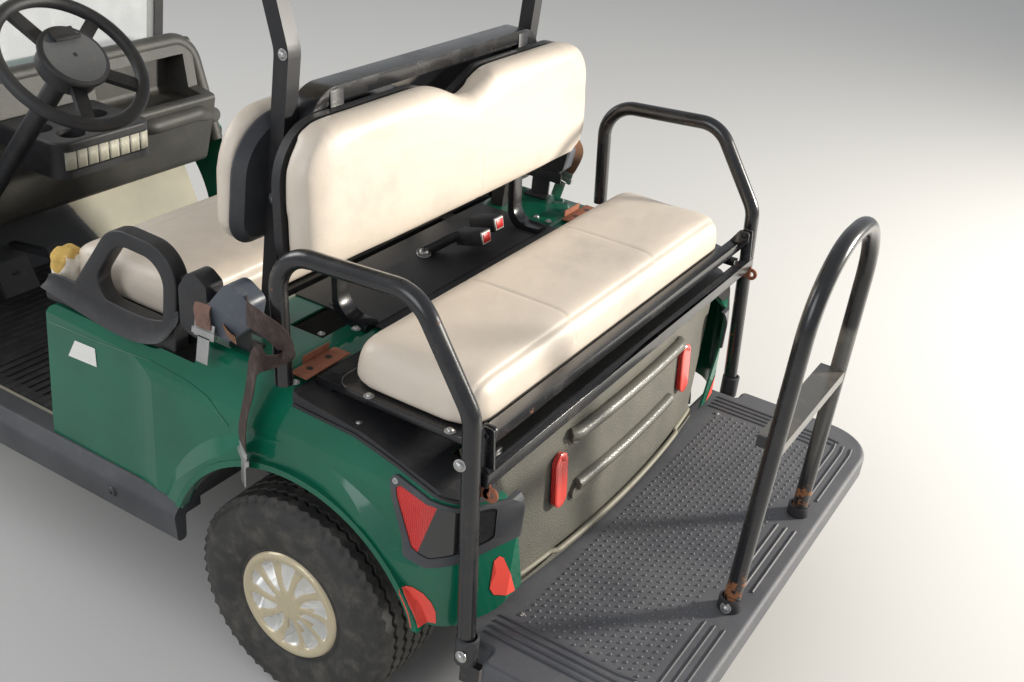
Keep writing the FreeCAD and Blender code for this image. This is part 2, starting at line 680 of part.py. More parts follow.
def rear_backrest_cushion():
    rows = two_lobes(*REAR_BACK_ROWS)
    return backrest(REAR_BACK_X, REAR_BACK_Z, (-REAR_CUSHION_T, -CLEAR), rows, BACK_LEAN)


def rear_backrest_board():
    half, z0, z1 = REAR_BACK_ROWS
    rows = two_lobes(half - 8, z0 + 8, z1 - 8)
    return backrest(REAR_BACK_X, REAR_BACK_Z, (0, REAR_BOARD_T), rows, BACK_LEAN)


def front_seat_base():
    """Seat lid with two hinge lugs at its rear edge."""
    z1 = FRONT_BASE_Z + SEAT_BASE_T
    base = rounded_block(FRONT_HINGE_X + SEAT_HINGE_GAP - 2, FRONT_SEAT_FRONT_X - 12, 6 - SEAT_HALF,
                         SEAT_HALF - 6, FRONT_BASE_Z, z1, 40, 4)
    pieces = [base]
    for y in (-300, 300):
        pieces.append(box(FRONT_HINGE_X - 4, FRONT_HINGE_X + SEAT_HINGE_GAP + 20, y - 20, y + 20,
                          FRONT_BASE_Z + 10, z1 - 2))
        pieces.append(rod(V(FRONT_HINGE_X, y - 20, FRONT_HINGE_Z), Y_AXIS, 9, 40))
    return fuse(pieces)


def front_seat_cushion():
    z0 = FRONT_BASE_Z + SEAT_BASE_T + CLEAR
    return rounded_block(FRONT_HINGE_X + SEAT_HINGE_GAP, FRONT_SEAT_FRONT_X, -SEAT_HALF, SEAT_HALF,
                         z0, z0 + CUSHION_T, 45, 30)


def hip_restraints():
    """Fixed guard at each end of the front seat: a wide foot on the body and a rounded loop."""
    y0, y1 = SEAT_HALF + MOVING_GAP, SEAT_HALF + 40
    z0 = FRONT_BASE_Z
    loop_rows = [(-346, z0, 10), (-360, z0 + 208, 70), (-190, z0 + 214, 80), (-60, z0 + 34, 60), (6, z0 + 30, 10),
                 (6, z0, 8)]
    hole_rows = [(-316, z0 + 50, 30), (-326, z0 + 178, 50), (-205, z0 + 182, 60), (-112, z0 + 50, 40)]
    guard = side_slab(loop_rows, y0, y1).cut(side_slab(hole_rows, y0 - 1, y1 + 1))
    return Part.makeCompound(both_sides(guard))


def rear_seat_base():
    plate = rounded_block(REAR_SEAT_REAR_X, REAR_SEAT_FRONT_X, -SEAT_HALF - 6, SEAT_HALF + 6,
                          REAR_BASE_Z, REAR_BASE_Z + REAR_BASE_T, 40, 3)
    rail = box(REAR_SEAT_REAR_X - 18, REAR_SEAT_REAR_X + 6, -SEAT_HALF - 6, SEAT_HALF + 6,
               REAR_BASE_Z + 8, REAR_BASE_Z + 30)
    rows = [(REAR_SEAT_REAR_X - 18, REAR_BASE_Z + 8, 0), (REAR_SEAT_REAR_X + 20, REAR_BASE_Z + 8, 0),
            (REAR_HINGE_X + 12, REAR_HINGE_Z + 12, 8), (REAR_HINGE_X - 12, REAR_HINGE_Z + 12, 8),
            (REAR_HINGE_X - 12, REAR_HINGE_Z - 12, 4)]
    lug = side_slab(rows, SEAT_HALF + 6, SEAT_HALF + 12)
    lug = lug.cut(rod(V(REAR_HINGE_X, SEAT_HALF, REAR_HINGE_Z), Y_AXIS, 5.5, 40))
    return fuse([plate, rail] + both_sides(lug))


def rear_seat_cushion():
    z0 = REAR_BASE_Z + REAR_BASE_T + CLEAR
    return rounded_block(REAR_SEAT_REAR_X + 8, REAR_SEAT_FRONT_X - 6, -SEAT_HALF, SEAT_HALF, z0, z0 + 84, 60, 30)


# Rear body
BODY_SIDE = [(PANEL_FRONT_X, SILL_Z, 0), (-6, PANEL_TOP_Z, 30), (-300, PANEL_TOP_Z, 60), (-400, DECK_Z, 60),
             (-598, DECK_Z, 30), (-636, 682, 30), (-790, 668, 200), (-960, 630, 160), (TAIL_SKIN_X, 590, 40),
             (TAIL_SKIN_X + 6, SILL_Z + 8, 20), (REAR_X, SILL_Z + 8, 0), (REAR_X, SILL_Z, 0)]
BODY_PLAN = mirrored_rows([(PANEL_FRONT_X + 20, 28 - BODY_HALF, 0), (-250, 26 - BODY_HALF, 300),
                           (-420, -BODY_HALF, 300),
                           (-880, -BODY_HALF, 120), (-985, 40 - BODY_HALF, 80),
                           (TAIL_SKIN_X - 9, 180 - BODY_HALF, 30)])
BODY_FRONT = mirrored_front_rows([(-BODY_HALF - 8, 290, 0), (-BODY_HALF - 8, 480, 200),
                                  (22 - BODY_HALF, 612, 40),
                                  (50 - BODY_HALF, DECK_Z + 4, 40), (0, DECK_Z + 9, 0)])


def arch_flare(amount):
    """Cone that narrows outwards round the rear arch, from the wall to the lip."""
    steep = 2
    depth = BODY_HALF - WALL_HALF
    cone = Part.makeCone(FLARE_R + steep * amount, FLARE_TOP_R + steep * amount, depth,
                         V(REAR_X + ARCH_SHIFT, WALL_HALF + amount, ARCH_Z), Y_AXIS)
    foot = rod(V(REAR_X + ARCH_SHIFT, WALL_HALF - 60, ARCH_Z), Y_AXIS, FLARE_R + steep * amount, 60 + amount)
    return cone.fuse(foot)


def body_form(amount):
    """Rear body's outer form, grown by an amount: plain walls, with a flare round each arch."""
    wide = three_view(BODY_SIDE, BODY_PLAN, BODY_FRONT, amount)
    half = WALL_HALF + amount
    walls = box(-NOSE_X, NOSE_X, -half, half, 0, 2 * DECK_Z)
    return wide.common(walls.multiFuse(both_sides(arch_flare(amount))))


def panel_window(amount):
    """Gap between the fenders that the rear panel fills."""
    slope = (REAR_PANEL_HALF_HIGH - REAR_PANEL_HALF_LOW) / (REAR_PANEL_TOP_Z - REAR_PANEL_FOOT_Z)
    more = 20 * slope
    rows = mirrored_front_rows([(more - REAR_PANEL_HALF_LOW - 2 * amount, REAR_PANEL_FOOT_Z - 20, 0),
                                (-more - REAR_PANEL_HALF_HIGH - 2 * amount, REAR_PANEL_TOP_Z + 20, 0)])
    gap = face(rows, front_view).extrude(V(190, 0, 0))
    gap.translate(V(TAIL_SKIN_X - 60, 0, 0))
    return gap


def rear_panel_form(amount):
    """Bowed rear panel between the fenders, wider at the top."""
    sections = []
    for z, half, rear, bow in ((REAR_PANEL_FOOT_Z - amount, REAR_PANEL_HALF_LOW, TAIL_SKIN_X + 26, 24),
                               (REAR_PANEL_TOP_Z + amount, REAR_PANEL_HALF_HIGH, TAIL_SKIN_X + 48, 20)):
        half, rear = half + amount, rear - amount
        front = rear + 60
        corner = 34
        side_mid = V(rear + corner * (1 - math.sqrt(0.5)), half - corner * (1 - math.sqrt(0.5)), z)
        a, b = V(front, half, z), V(rear + corner, half, z)
        c = V(rear, half - corner, z)
        edges = [Part.LineSegment(a, b).toShape(), Part.Arc(b, side_mid, c).toShape(),
                 Part.Arc(c, V(rear - bow, 0, z), V(c.x, -c.y, z)).toShape(),
                 Part.Arc(V(c.x, -c.y, z), V(side_mid.x, -side_mid.y, z), V(b.x, -b.y, z)).toShape(),
                 Part.LineSegment(V(b.x, -b.y, z), V(a.x, -a.y, z)).toShape(),
                 Part.LineSegment(V(a.x, -a.y, z), a).toShape()]
        sections.append(Part.Wire(edges))
    return Part.makeLoft(sections, True, True)


def rear_body():
    """Green rear body: shell with wheel arches, lips, and windows for the seats and the rear panel."""
    form = body_form(0)
    inner = body_form(-SKIN)
    inner = inner.fuse(inner.translated(V(0, 0, -3 * SKIN)))
    shell = form.cut(inner)
    x, z = REAR_X + ARCH_SHIFT, ARCH_Z
    lip = ring(V(x, -BODY_HALF - 4, z), Y_AXIS, ARCH_R + ARCH_LIP, ARCH_R, 2 * BODY_HALF + 8)
    lip = lip.cut(box(x - 400, x + 400, -BODY_HALF + 22, BODY_HALF - 22, 0, 800))
    lip = lip.cut(box(x - 400, x + 400, -2 * BODY_HALF, 2 * BODY_HALF, -100, SILL_Z + 8))
    shell = shell.cut(rod(V(x, -2 * BODY_HALF, z), Y_AXIS, ARCH_R, 4 * BODY_HALF))
    shell = shell.cut(box(HEEL_X - 10, 40, -FLOOR_HALF - 2, FLOOR_HALF + 2, 300, PANEL_TOP_Z - 14))
    well = SEAT_HALF - 60
    shell = shell.cut(box(FRONT_HINGE_X + 40, FRONT_SEAT_FRONT_X - 30, -well, well, 600, 800))
    shell = shell.cut(box(FRONT_HINGE_X - 8, PANEL_FRONT_X + 5, -SEAT_HALF - 44, SEAT_HALF + 44,
                          FRONT_BASE_Z - CLEAR, 800))
    shell = shell.cut(box(-560, -480, REAR_STRUT_Y - 110, REAR_STRUT_Y, 600, 800))
    shell = shell.cut(box(-970, -660, 90 - SEAT_HALF, SEAT_HALF - 90, 600, 800))
    shell = shell.cut(panel_window(CLEAR))
    shell = fuse([shell, lip])
    return max(shell.Solids, key=lambda s: s.Volume)


def wheel_housings():
    x, z = REAR_X + ARCH_SHIFT, ARCH_Z
    y0, y1 = BODY_HALF - 228, BODY_HALF - 24
    shell = ring(V(x, y0, z), Y_AXIS, ARCH_R - CLEAR, ARCH_R - 4, y1 - y0)
    shell = shell.cut(box(x - 400, x + 400, 0, 2 * BODY_HALF, -200, 356))
    wall = rod(V(x, y0, z), Y_AXIS, ARCH_R - CLEAR, 4).cut(box(x - 400, x + 400, 0, 2 * BODY_HALF, -200, 356))
    return Part.makeCompound(both_sides(fuse([shell, wall])))


def tail_corner(rows, out, deep):
    """Piece of the fender's rear corner between two depths, cut out by a side outline."""
    block = side_slab(rows, BODY_HALF - 160, BODY_HALF + 40)
    return block.common(body_form(out)).cut(body_form(-deep))


LAMP_ROWS = [(-852, 636, 12), (-902, 492, 12), (-940, 476, 20), (-1060, 516, 10), (-1060, 588, 10)]
LENS_ROWS = [(-868, 620, 8), (-912, 510, 8), (-944, 496, 12), (-1018, 524, 10), (-1018, 590, 10)]


def tail_lamps():
    lamp = tail_corner(LAMP_ROWS, 5, -CLEAR)
    window = grown(face(LENS_ROWS), CLEAR).extrude(V(0, 300, 0)).translated(V(0, BODY_HALF - 200, 0))
    lamp = lamp.cut(window)
    return Part.makeCompound([s for side in both_sides(lamp) for s in side.Solids])


def rear_lenses():
    """Tail lenses and the two oblong reflectors of the rear panel."""
    lens = tail_corner(LENS_ROWS, 3, -CLEAR)
    pieces = [s for side in both_sides(lens) for s in side.Solids]
    for _, side in SIDES:
        pieces.append(reflector(side))
    return Part.makeCompound(pieces)


def reflector(side):
    rows = [(-22, -56, 21), (22, -56, 21), (22, 56, 21), (-22, 56, 21)]
    plate = face(rows, front_view).extrude(V(-9, 0, 0))
    plate.rotate(ORIGIN, Y_AXIS, 5)
    plate.translate(V(TAIL_SKIN_X + 24 - CLEAR, side * (REAR_PANEL_HALF_LOW - 120), 522))
    return plate


def rear_tray():
    """Black tray that covers the fenders' tops below the rear seat."""
    rows = [(-632, 664, 0), (-770, 660, 0), (-864, 643, 0), (-1060, 596, 0), (-1060, 800, 0), (-612, 800, 0)]
    skin = body_form(4).cut(body_form(CLEAR)).common(side_slab(rows, -2 * BODY_HALF, 2 * BODY_HALF))
    hole = rod(V(-620, -HOOP_Y, 600), Z_AXIS, HOOP_R + 2, 200)
    skin = skin.cut(hole.fuse(hole.mirror(ORIGIN, Y_AXIS))).cut(panel_window(CLEAR))
    return max(skin.Solids, key=lambda s: s.Volume)


def panel_rib(z, half):
    """Long rib with round ends that stands out of the rear panel."""
    rows = [(-half, z - RIB_H / 2, RIB_H / 2 - 1), (half, z - RIB_H / 2, RIB_H / 2 - 1),
            (half, z + RIB_H / 2, RIB_H / 2 - 1), (-half, z + RIB_H / 2, RIB_H / 2 - 1)]
    prism = face(rows, front_view).extrude(V(120, 0, 0)).translated(V(TAIL_SKIN_X - 40, 0, 0))
    return rear_panel_form(RIB_OUT).cut(rear_panel_form(-2)).common(prism)


def rear_panel():
    """Textured panel behind the axle with two ribs and a rolled foot, open inside."""
    outer = rear_panel_form(0)
    inner = rear_panel_form(-4).translated(V(4, 0, 0))
    inner = inner.fuse([inner.translated(V(40, 0, 0))])
    band = box(TAIL_SKIN_X - 60, TAIL_SKIN_X + 60, -BODY_HALF, BODY_HALF, REAR_PANEL_FOOT_Z,
               REAR_PANEL_FOOT_Z + 16)
    foot = rear_panel_form(8).cut(rear_panel_form(-3)).common(band)
    foot = foot.cut(inner).cut(body_form(CLEAR))
    return fuse([outer.cut(inner), foot] + [panel_rib(z, half) for z, half in PANEL_RIBS])


def rear_seat_frame():
    """Fixed steel frame: rear rail between the hoops, side bars, front bar and hinge brackets."""
    z0, z1 = REAR_BASE_Z - CLEAR - 14, REAR_BASE_Z - CLEAR
    reach = HOOP_Y - HOOP_R - CLEAR
    rail = box(REAR_HINGE_X - 22, REAR_HINGE_X, -reach, reach, SEAT_RAIL_LOW_Z, SEAT_RAIL_TOP_Z)
    pieces = [rail]
    for _, side in SIDES:
        bar = box(REAR_HINGE_X - 2, SEAT_BAR_X, 0, 22, z0, z1)
        bar.translate(V(0, side * (SEAT_HALF - 20) - 11, 0))
        pieces.append(bar)
        low = SEAT_RAIL_LOW_Z + 12
        bracket_rows = [(REAR_HINGE_X - 22, low, 0), (REAR_HINGE_X, low, 0),
                        (REAR_HINGE_X + 12, REAR_HINGE_Z, 4), (REAR_HINGE_X + 8, REAR_HINGE_Z + 14, 6),
                        (REAR_HINGE_X - 14, REAR_HINGE_Z + 14, 6)]
        inner, outer = sorted((side * (SEAT_HALF + 18), side * (SEAT_HALF + 23)))
        pieces.append(side_slab(bracket_rows, inner, outer))
        inner, outer = sorted((side * (SEAT_HALF + 8), side * (SEAT_HALF + 26)))
        pieces.append(rod(V(REAR_HINGE_X, inner, REAR_HINGE_Z), Y_AXIS, 5, outer - inner))
    pieces.append(box(SEAT_BAR_X - 36, SEAT_BAR_X, 9 - SEAT_HALF, SEAT_HALF - 9, z0 - 14, z1))
    return fuse(pieces).cut(body_form(4 + CLEAR))


def side_hoops():
    route = [V(-620, HOOP_Y - 4, DECK_Z + 5), V(-602, HOOP_Y - 4, 953), V(-888, HOOP_Y, 972),
             V(-1003, HOOP_Y, 799), V(-1033, HOOP_Y, 318)]
    hoop = bent_tube(route, HOOP_BEND, HOOP_R)
    return Part.makeCompound(both_sides(hoop))


def foot_platform():
    """Moulded step with round corners and a deep rolled edge, open underneath."""
    rows = mirrored_rows([(PLATFORM_FRONT_X, 40 - PLATFORM_HALF, 10), (-1066, 40 - PLATFORM_HALF, 10),
                          (-1066, -PLATFORM_HALF, 14), (TAIL_X, -PLATFORM_HALF, 110)])
    z0 = PLATFORM_TOP - PLATFORM_H
    outer = plan_slab(rows, z0, PLATFORM_TOP)
    inner = grown(face(rows, plan_view), -PLATFORM_SKIN).extrude(V(0, 0, PLATFORM_H))
    inner.translate(V(0, 0, z0 - PLATFORM_SKIN))
    rim = [e for e in outer.Edges if abs(e.CenterOfMass.z - PLATFORM_TOP) < 1e-3]
    shell = outer.makeFillet(10, rim).cut(inner)
    for _, side in SIDES:
        shell = shell.cut(rod(V(-1352, side * GRAB_BAR_Y, z0 - 10), Z_AXIS, HOOP_R + 4, PLATFORM_H + 20))
    return shell


def grab_bar():
    low = PLATFORM_TOP - PLATFORM_H - CLEAR - RAIL_H / 2
    foot_z = low + 32 + CLEAR
    leg = [V(-1352, GRAB_BAR_Y, foot_z - 10), V(-1371, GRAB_BAR_Y - 26, 1040)]
    route = leg + [V(p.x, -p.y, p.z) for p in reversed(leg)]
    bar = bent_tube(route, 150, HOOP_R)
    brace = box(-1377, -1328, -166, 166, 677, 699)
    return fuse([bar, brace]).cut(box(-1500, -1200, -300, 300, 0, foot_z))


def battery_pack():
    return box(-352, -40, -RAIL_Y - 10, RAIL_Y + 10, RAIL_Z + RAIL_H + CLEAR, 590)


def pedals():
    """Wide brake pedal and narrow accelerator, each on an arm from the toe board."""
    pieces = []
    for y, width in ((255, 96), (120, 60)):
        pad = box(500, 512, y - width / 2, y + width / 2, 385, 470)
        pad.rotate(V(500, y, 385), Y_AXIS, 30)
        rows = [(520, 430, 0), (530, 418, 6), (TOE_X + 40, 392, 0), (TOE_X + 40, 408, 0), (540, 436, 6)]
        arm = side_slab(rows, y - 9, y + 9)
        pieces.append(fuse([pad, arm]).cut(toe_board(CLEAR)))
    return Part.makeCompound([max(s.Solids, key=lambda piece: piece.Volume) for s in pieces])


def deck_cover():
    """Black cover on the deck between the feet of the backrest's uprights."""
    x0, x1 = UPRIGHT_FOOT_X + 2, -470
    y = UPRIGHT_Y - UPRIGHT_W / 2 - CLEAR - 4
    rows = [(x0, -y, 4), (x1, -y, 20), (x1, y, 20), (x0, y, 4)]
    return plan_slab(rows, DECK_Z + CLEAR, DECK_Z + CLEAR + COVER_T)


FRONT_CASE = [(-372, 726, 8), (-370, 806, 18), (-400, 852, 24), (-438, 826, 12), (-440, 768, 10),
              (-412, 716, 8)]
REAR_CASE = [(-446, 742, 10), (-443, 798, 18), (-490, 858, 26), (-540, 828, 18), (-530, 778, 10),
             (-490, 738, 10)]
CASE_W = 42


def belt_gear():
    """On each side a bracket with two belt retractors, and the buckles between the seats."""
    y0 = SEAT_HALF + MOVING_GAP
    z0 = DECK_Z + CLEAR
    foot = box(-505, -448, y0 - 34, y0, z0, z0 + 5)
    post = box(-500, -452, y0 - 5, y0, z0, z0 + 60)
    bar = box(-530, -390, y0 - 5, y0, z0 + 40, z0 + 66)
    cases = [side_slab(rows, y0, y0 + CASE_W) for rows in (FRONT_CASE, REAR_CASE)]
    pieces = both_sides(fuse([foot, post, bar] + cases))
    low = z0 + COVER_T + CLEAR
    for y in (-190, -110):
        pieces.append(rounded_block(-596, -562, y - 16, y + 16, low, low + 58, 5, 4))
    return Part.makeCompound(pieces)


NODES = {
    "chassis_frame": chassis_frame, "rear_axle": rear_axle, "rear_springs": rear_springs,
    "front_suspension": front_suspension, "steering_rack": steering_rack, "steering_column": steering_column,
    "steering_wheel": steering_wheel, "battery_pack": battery_pack, "floor_pan": floor_pan,
    "floor_mat": floor_mat, "pedals": pedals, "running_boards": running_boards, "front_cowl": front_cowl,
    "front_bumper": front_bumper, "headlamps": headlamps, "dashboard": dashboard, "cup_console": cup_console,
    "windscreen": windscreen, "canopy_struts": canopy_struts, "canopy_roof": canopy_roof,
    "backrest_frame": backrest_frame,
    "front_backrest_cushion": front_backrest_cushion, "front_backrest_shell": front_backrest_shell,
    "rear_backrest_cushion": rear_backrest_cushion, "rear_backrest_board": rear_backrest_board,
    "front_seat_base": front_seat_base, "front_seat_cushion": front_seat_cushion,
    "hip_restraints": hip_restraints, "rear_seat_base": rear_seat_base, "rear_seat_cushion": rear_seat_cushion,
    "rear_body": rear_body, "wheel_housings": wheel_housings, "tail_lamps": tail_lamps,
    "rear_lenses": rear_lenses, "rear_tray": rear_tray, "rear_panel": rear_panel,
    "rear_seat_frame": rear_seat_frame, "deck_cover": deck_cover, "side_hoops": side_hoops,
    "foot_platform": foot_platform, "grab_bar": grab_bar, "belt_gear": belt_gear,
}


def corner_nodes():
    """Tyre, wheel and knuckle of each corner, by node name."""
    nodes = {}
    for end, x, track in (("rear", REAR_X, REAR_TRACK), ("front", FRONT_X, FRONT_TRACK)):
        for name, out in SIDES:
            centre = V(x, out * track / 2, TYRE_R)
            nodes[f"tyre_{end}_{name}"] = tyre(centre)
            nodes[f"wheel_{end}_{name}"] = wheel(centre, out)
    for name, out in SIDES:
        nodes[f"knuckle_{name}"] = knuckle(out)
    return nodes


def main():
    os.makedirs("parts", exist_ok=True)
    shapes = {name: build() for name, build in NODES.items()}
    shapes.update(corner_nodes())
    for name, shape in shapes.items():
        if not shape.isValid():
            print("not valid:", name)
        shape.exportStep(f"parts/{name}.step")


main()
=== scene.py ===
# %% [markdown]
# # A used golf cart, dressed
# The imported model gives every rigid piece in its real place, in metres. This script keeps those pieces,
# gives each one a finish, and adds what a CAD model leaves out: cushions, tread, nubs, seams, belts,
# bolts and the marks of years outdoors.

# %% Load the frame
import functools
import math
import random

import bmesh
import bpy
import numpy as np
from mathutils import Matrix, Vector
from mathutils.bvhtree import BVHTree


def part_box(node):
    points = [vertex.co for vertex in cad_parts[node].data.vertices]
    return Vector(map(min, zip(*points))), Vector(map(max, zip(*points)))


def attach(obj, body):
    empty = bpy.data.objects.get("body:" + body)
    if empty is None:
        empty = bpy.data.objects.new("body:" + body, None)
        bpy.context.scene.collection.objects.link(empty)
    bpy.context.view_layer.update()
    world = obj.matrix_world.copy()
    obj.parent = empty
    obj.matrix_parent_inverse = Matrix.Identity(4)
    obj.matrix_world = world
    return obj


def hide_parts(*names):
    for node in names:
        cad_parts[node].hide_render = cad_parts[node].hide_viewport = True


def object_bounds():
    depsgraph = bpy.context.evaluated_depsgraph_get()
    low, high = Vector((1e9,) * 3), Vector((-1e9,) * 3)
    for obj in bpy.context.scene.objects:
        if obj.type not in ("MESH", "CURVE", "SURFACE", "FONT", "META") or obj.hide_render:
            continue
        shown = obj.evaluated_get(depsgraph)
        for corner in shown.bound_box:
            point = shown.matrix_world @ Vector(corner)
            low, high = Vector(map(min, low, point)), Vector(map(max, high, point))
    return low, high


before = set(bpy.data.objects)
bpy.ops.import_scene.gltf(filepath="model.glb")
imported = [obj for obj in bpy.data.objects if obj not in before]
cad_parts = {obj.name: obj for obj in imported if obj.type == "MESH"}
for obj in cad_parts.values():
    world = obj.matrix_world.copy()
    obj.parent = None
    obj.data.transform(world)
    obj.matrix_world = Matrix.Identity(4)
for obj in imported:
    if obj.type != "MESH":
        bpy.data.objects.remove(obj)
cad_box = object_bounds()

cad_size = [round(high - low, 3) for low, high in zip(cad_box[0], cad_box[1])]
print("frame:", len(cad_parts), "pieces,", cad_size, "m")

# %% [markdown]
# ## Camera, floor and light
# The camera's place was solved from pairs of points that mirror each other across the cart. It stands
# behind the driver's side, a little above head height, and is rolled by six degrees. The light is plain:
# three large soft lamps and a pale floor, so that the colours show as they are written.

# %% Camera
EYE = Vector((-1.7923, 1.8879, 1.7616))
RIGHT = Vector((-0.84338, -0.52932, 0.0923))
UP = Vector((0.32176, -0.35997, 0.87572))
AHEAD = Vector((0.43032, -0.76827, -0.47391))
LENS = 41.46

camera_data = bpy.data.cameras.new("camera")
camera_data.lens = LENS
camera_data.sensor_width = 36
camera = bpy.data.objects.new("camera", camera_data)
turn = Matrix((RIGHT, UP, -AHEAD)).transposed()
camera.matrix_world = Matrix.Translation(EYE) @ turn.to_4x4()
bpy.context.collection.objects.link(camera)
bpy.context.scene.camera = camera
bpy.context.scene.view_settings.view_transform = "Standard"


# %% Lamps
def soft_lamp(name, place, aim, size, watts, tint=(1, 1, 1)):
    data = bpy.data.lights.new(name, "AREA")
    data.shape, data.size, data.energy, data.color = "DISK", size, watts, tint
    lamp = bpy.data.objects.new(name, data)
    lamp.location = place
    lamp.rotation_euler = (Vector(aim) - Vector(place)).to_track_quat("-Z", "Y").to_euler()
    bpy.context.collection.objects.link(lamp)


soft_lamp("key", (-4.5, -3.3, 2.0), (-0.5, 0, 0.6), 0.6, 430, (1, 0.95, 0.86))
soft_lamp("fill", (-0.5, 5.0, 3.0), (-0.3, 0, 0.5), 3.0, 75, (0.94, 0.97, 1))
soft_lamp("front", (4.5, 1.5, 3.2), (0.3, 0, 0.7), 3.0, 110)

world = bpy.data.worlds.new("sky")
bpy.context.scene.world = world
world.use_nodes = True
backdrop = world.node_tree.nodes["Background"]
backdrop.inputs["Color"].default_value = (0.86, 0.89, 0.93, 1)
backdrop.inputs["Strength"].default_value = 0.55

# %% [markdown]
# ## Writing shaders as sums
# A finish is mostly arithmetic on a few noises. The small class below wraps one socket of a node tree
# and overloads the operators, so that `dust * 0.4 + 0.2` adds its Math nodes by itself. Everything that
# isn't a sum goes through one method that takes a node's type, its settings and its inputs.

# %% A socket that can be added and multiplied
class Signal:
    """The output of a shader node, which can stand in a sum."""

    def __init__(self, finish, socket):
        self.finish, self.socket = finish, socket

    def _math(self, operation, first, second):
        return self.finish.node("ShaderNodeMath", {"operation": operation}, {0: first, 1: second})

    def __add__(self, other):
        return self._math("ADD", self, other)

    def __sub__(self, other):
        return self._math("SUBTRACT", self, other)

    def __rsub__(self, other):
        return self._math("SUBTRACT", other, self)

    def __mul__(self, other):
        return self._math("MULTIPLY", self, other)

    __radd__, __rmul__ = __add__, __mul__

    def larger(self, other):
        return self._math("MAXIMUM", self, other)

    def smaller(self, other):
        return self._math("MINIMUM", self, other)

    def sine(self):
        return self._math("SINE", self, 0)

    def size(self):
        return self._math("ABSOLUTE", self, 0)

    def step(self, low, high):
        """0 below low, 1 above high, smooth between."""
        settings = {"interpolation_type": "SMOOTHSTEP"}
        return self.finish.node("ShaderNodeMapRange", settings, {0: self, 1: low, 2: high})


# %% One finish: a Principled shader and the nodes that vary it
class Finish:
    """A material under construction."""

    def __init__(self, name, color, roughness, **fixed):
        self.material = bpy.data.materials.new(name)
        self.material.use_nodes = True
        self.tree = self.material.node_tree
        self.shader = self.tree.nodes["Principled BSDF"]
        self.place = self.node("ShaderNodeTexCoord", output="Object")
        self.feed("Base Color", color)
        self.feed("Roughness", roughness)
        for key, value in fixed.items():
            self.feed(key.replace("_", " ").title().replace("Ior", "IOR"), value)

    def connect(self, socket, value):
        if isinstance(value, Signal):
            self.tree.links.new(value.socket, socket)
        elif isinstance(value, (tuple, list)):
            socket.default_value = (*value, 1)[:len(socket.default_value)]
        else:
            socket.default_value = value

    def node(self, kind, settings=None, inputs=None, output=0):
        node = self.tree.nodes.new(kind)
        for key, value in (settings or {}).items():
            setattr(node, key, value)
        for key, value in (inputs or {}).items():
            self.connect(node.inputs[key], value)
        return Signal(self, node.outputs[output])

    def feed(self, socket, value):
        self.connect(self.shader.inputs[socket], value)

    def stretched(self, scale):
        return self.node("ShaderNodeMapping", None, {"Vector": self.place, "Scale": scale})

    def noise(self, scale, detail=4, roughness=0.5, on=None, seed=0.0):
        inputs = {"Vector": on or self.place, "W": seed, "Scale": scale, "Detail": detail,
                  "Roughness": roughness}
        return self.node("ShaderNodeTexNoise", {"noise_dimensions": "4D"}, inputs)

    def pebbles(self, scale):
        return self.node("ShaderNodeTexVoronoi", None, {"Vector": self.place, "Scale": scale})

    def axis(self, letter):
        return self.node("ShaderNodeSeparateXYZ", None, {0: self.place}, "XYZ".index(letter))

    def mix(self, share, first, second):
        """Colour that goes from first to second as share goes from 0 to 1."""
        return self.node("ShaderNodeMix", {"data_type": "RGBA"}, {0: share, 6: first, 7: second}, 2)

    def bump(self, height, depth, under=None):
        inputs = {"Height": height, "Distance": depth, "Strength": 1.0}
        if under is not None:
            inputs["Normal"] = under
        return self.node("ShaderNodeBump", None, inputs)

    def done(self):
        return self.material


# %% [markdown]
# ## Finishes
# Each real surface of the cart gets its own finish: clear-coated green body, faded dark mouldings,
# grained panel, cream vinyl, black enamel that chips to rust, dusty rubber, champagne wheel covers.
# All the patterns read Object coordinates in metres, so their scale is real: a scale of 400 makes a
# grain of two or three millimetres.

# %% Green body paint
def green_paint():
    f = Finish("body_green", (0.002, 0.105, 0.058), 0.34, coat_weight=0.6, coat_roughness=0.05,
               specular_ior_level=0.25)
    cloud = f.noise(5, 3)
    grime = f.noise(34, 6, 0.65, seed=2.0).step(0.56, 0.78)
    low = 1 - f.axis("Z").step(0.34, 0.52)
    dirt = (grime * 0.16 + low * 0.3 * grime).smaller(0.5)
    deep = f.mix(cloud.step(0.3, 0.7), (0.0012, 0.098, 0.053), (0.002, 0.128, 0.070))
    scratch = f.noise(60, 2, 0.4, on=f.stretched((0.35, 1, 6)), seed=5.0).step(0.70, 0.74)
    color = f.mix(dirt, deep, (0.10, 0.12, 0.09))
    color = f.mix(scratch * 0.16, color, (0.08, 0.24, 0.17))
    f.feed("Base Color", color)
    f.feed("Roughness", 0.30 + dirt * 0.4 + scratch * 0.2)
    f.feed("Coat Weight", 0.6 - dirt * 0.9)
    f.feed("Normal", f.bump(f.noise(2.6, 1), 0.004))
    return f.done()


# %% Mouldings: dark rockers and platform, black trim, grained rear panel
def moulding(name, color, faded, roughness, grain, depth, dust=0.5):
    f = Finish(name, color, roughness)
    cloud = f.noise(7, 4, seed=1.0)
    dusty = f.noise(40, 7, 0.7, seed=3.0).step(0.5, 0.8) * dust
    scuff = f.noise(90, 2, 0.5, on=f.stretched((0.5, 4, 2)), seed=4.0).step(0.68, 0.76) * 0.5
    tint = f.mix(cloud.step(0.3, 0.7), color, faded)
    tint = f.mix(dusty * 0.5, tint, (0.21, 0.19, 0.16))
    f.feed("Base Color", f.mix(scuff * 0.4, tint, (0.17, 0.17, 0.17)))
    f.feed("Roughness", roughness + dusty * 0.25 + cloud * 0.08)
    f.feed("Normal", f.bump(f.pebbles(grain).larger(0.12), depth))
    return f.done()


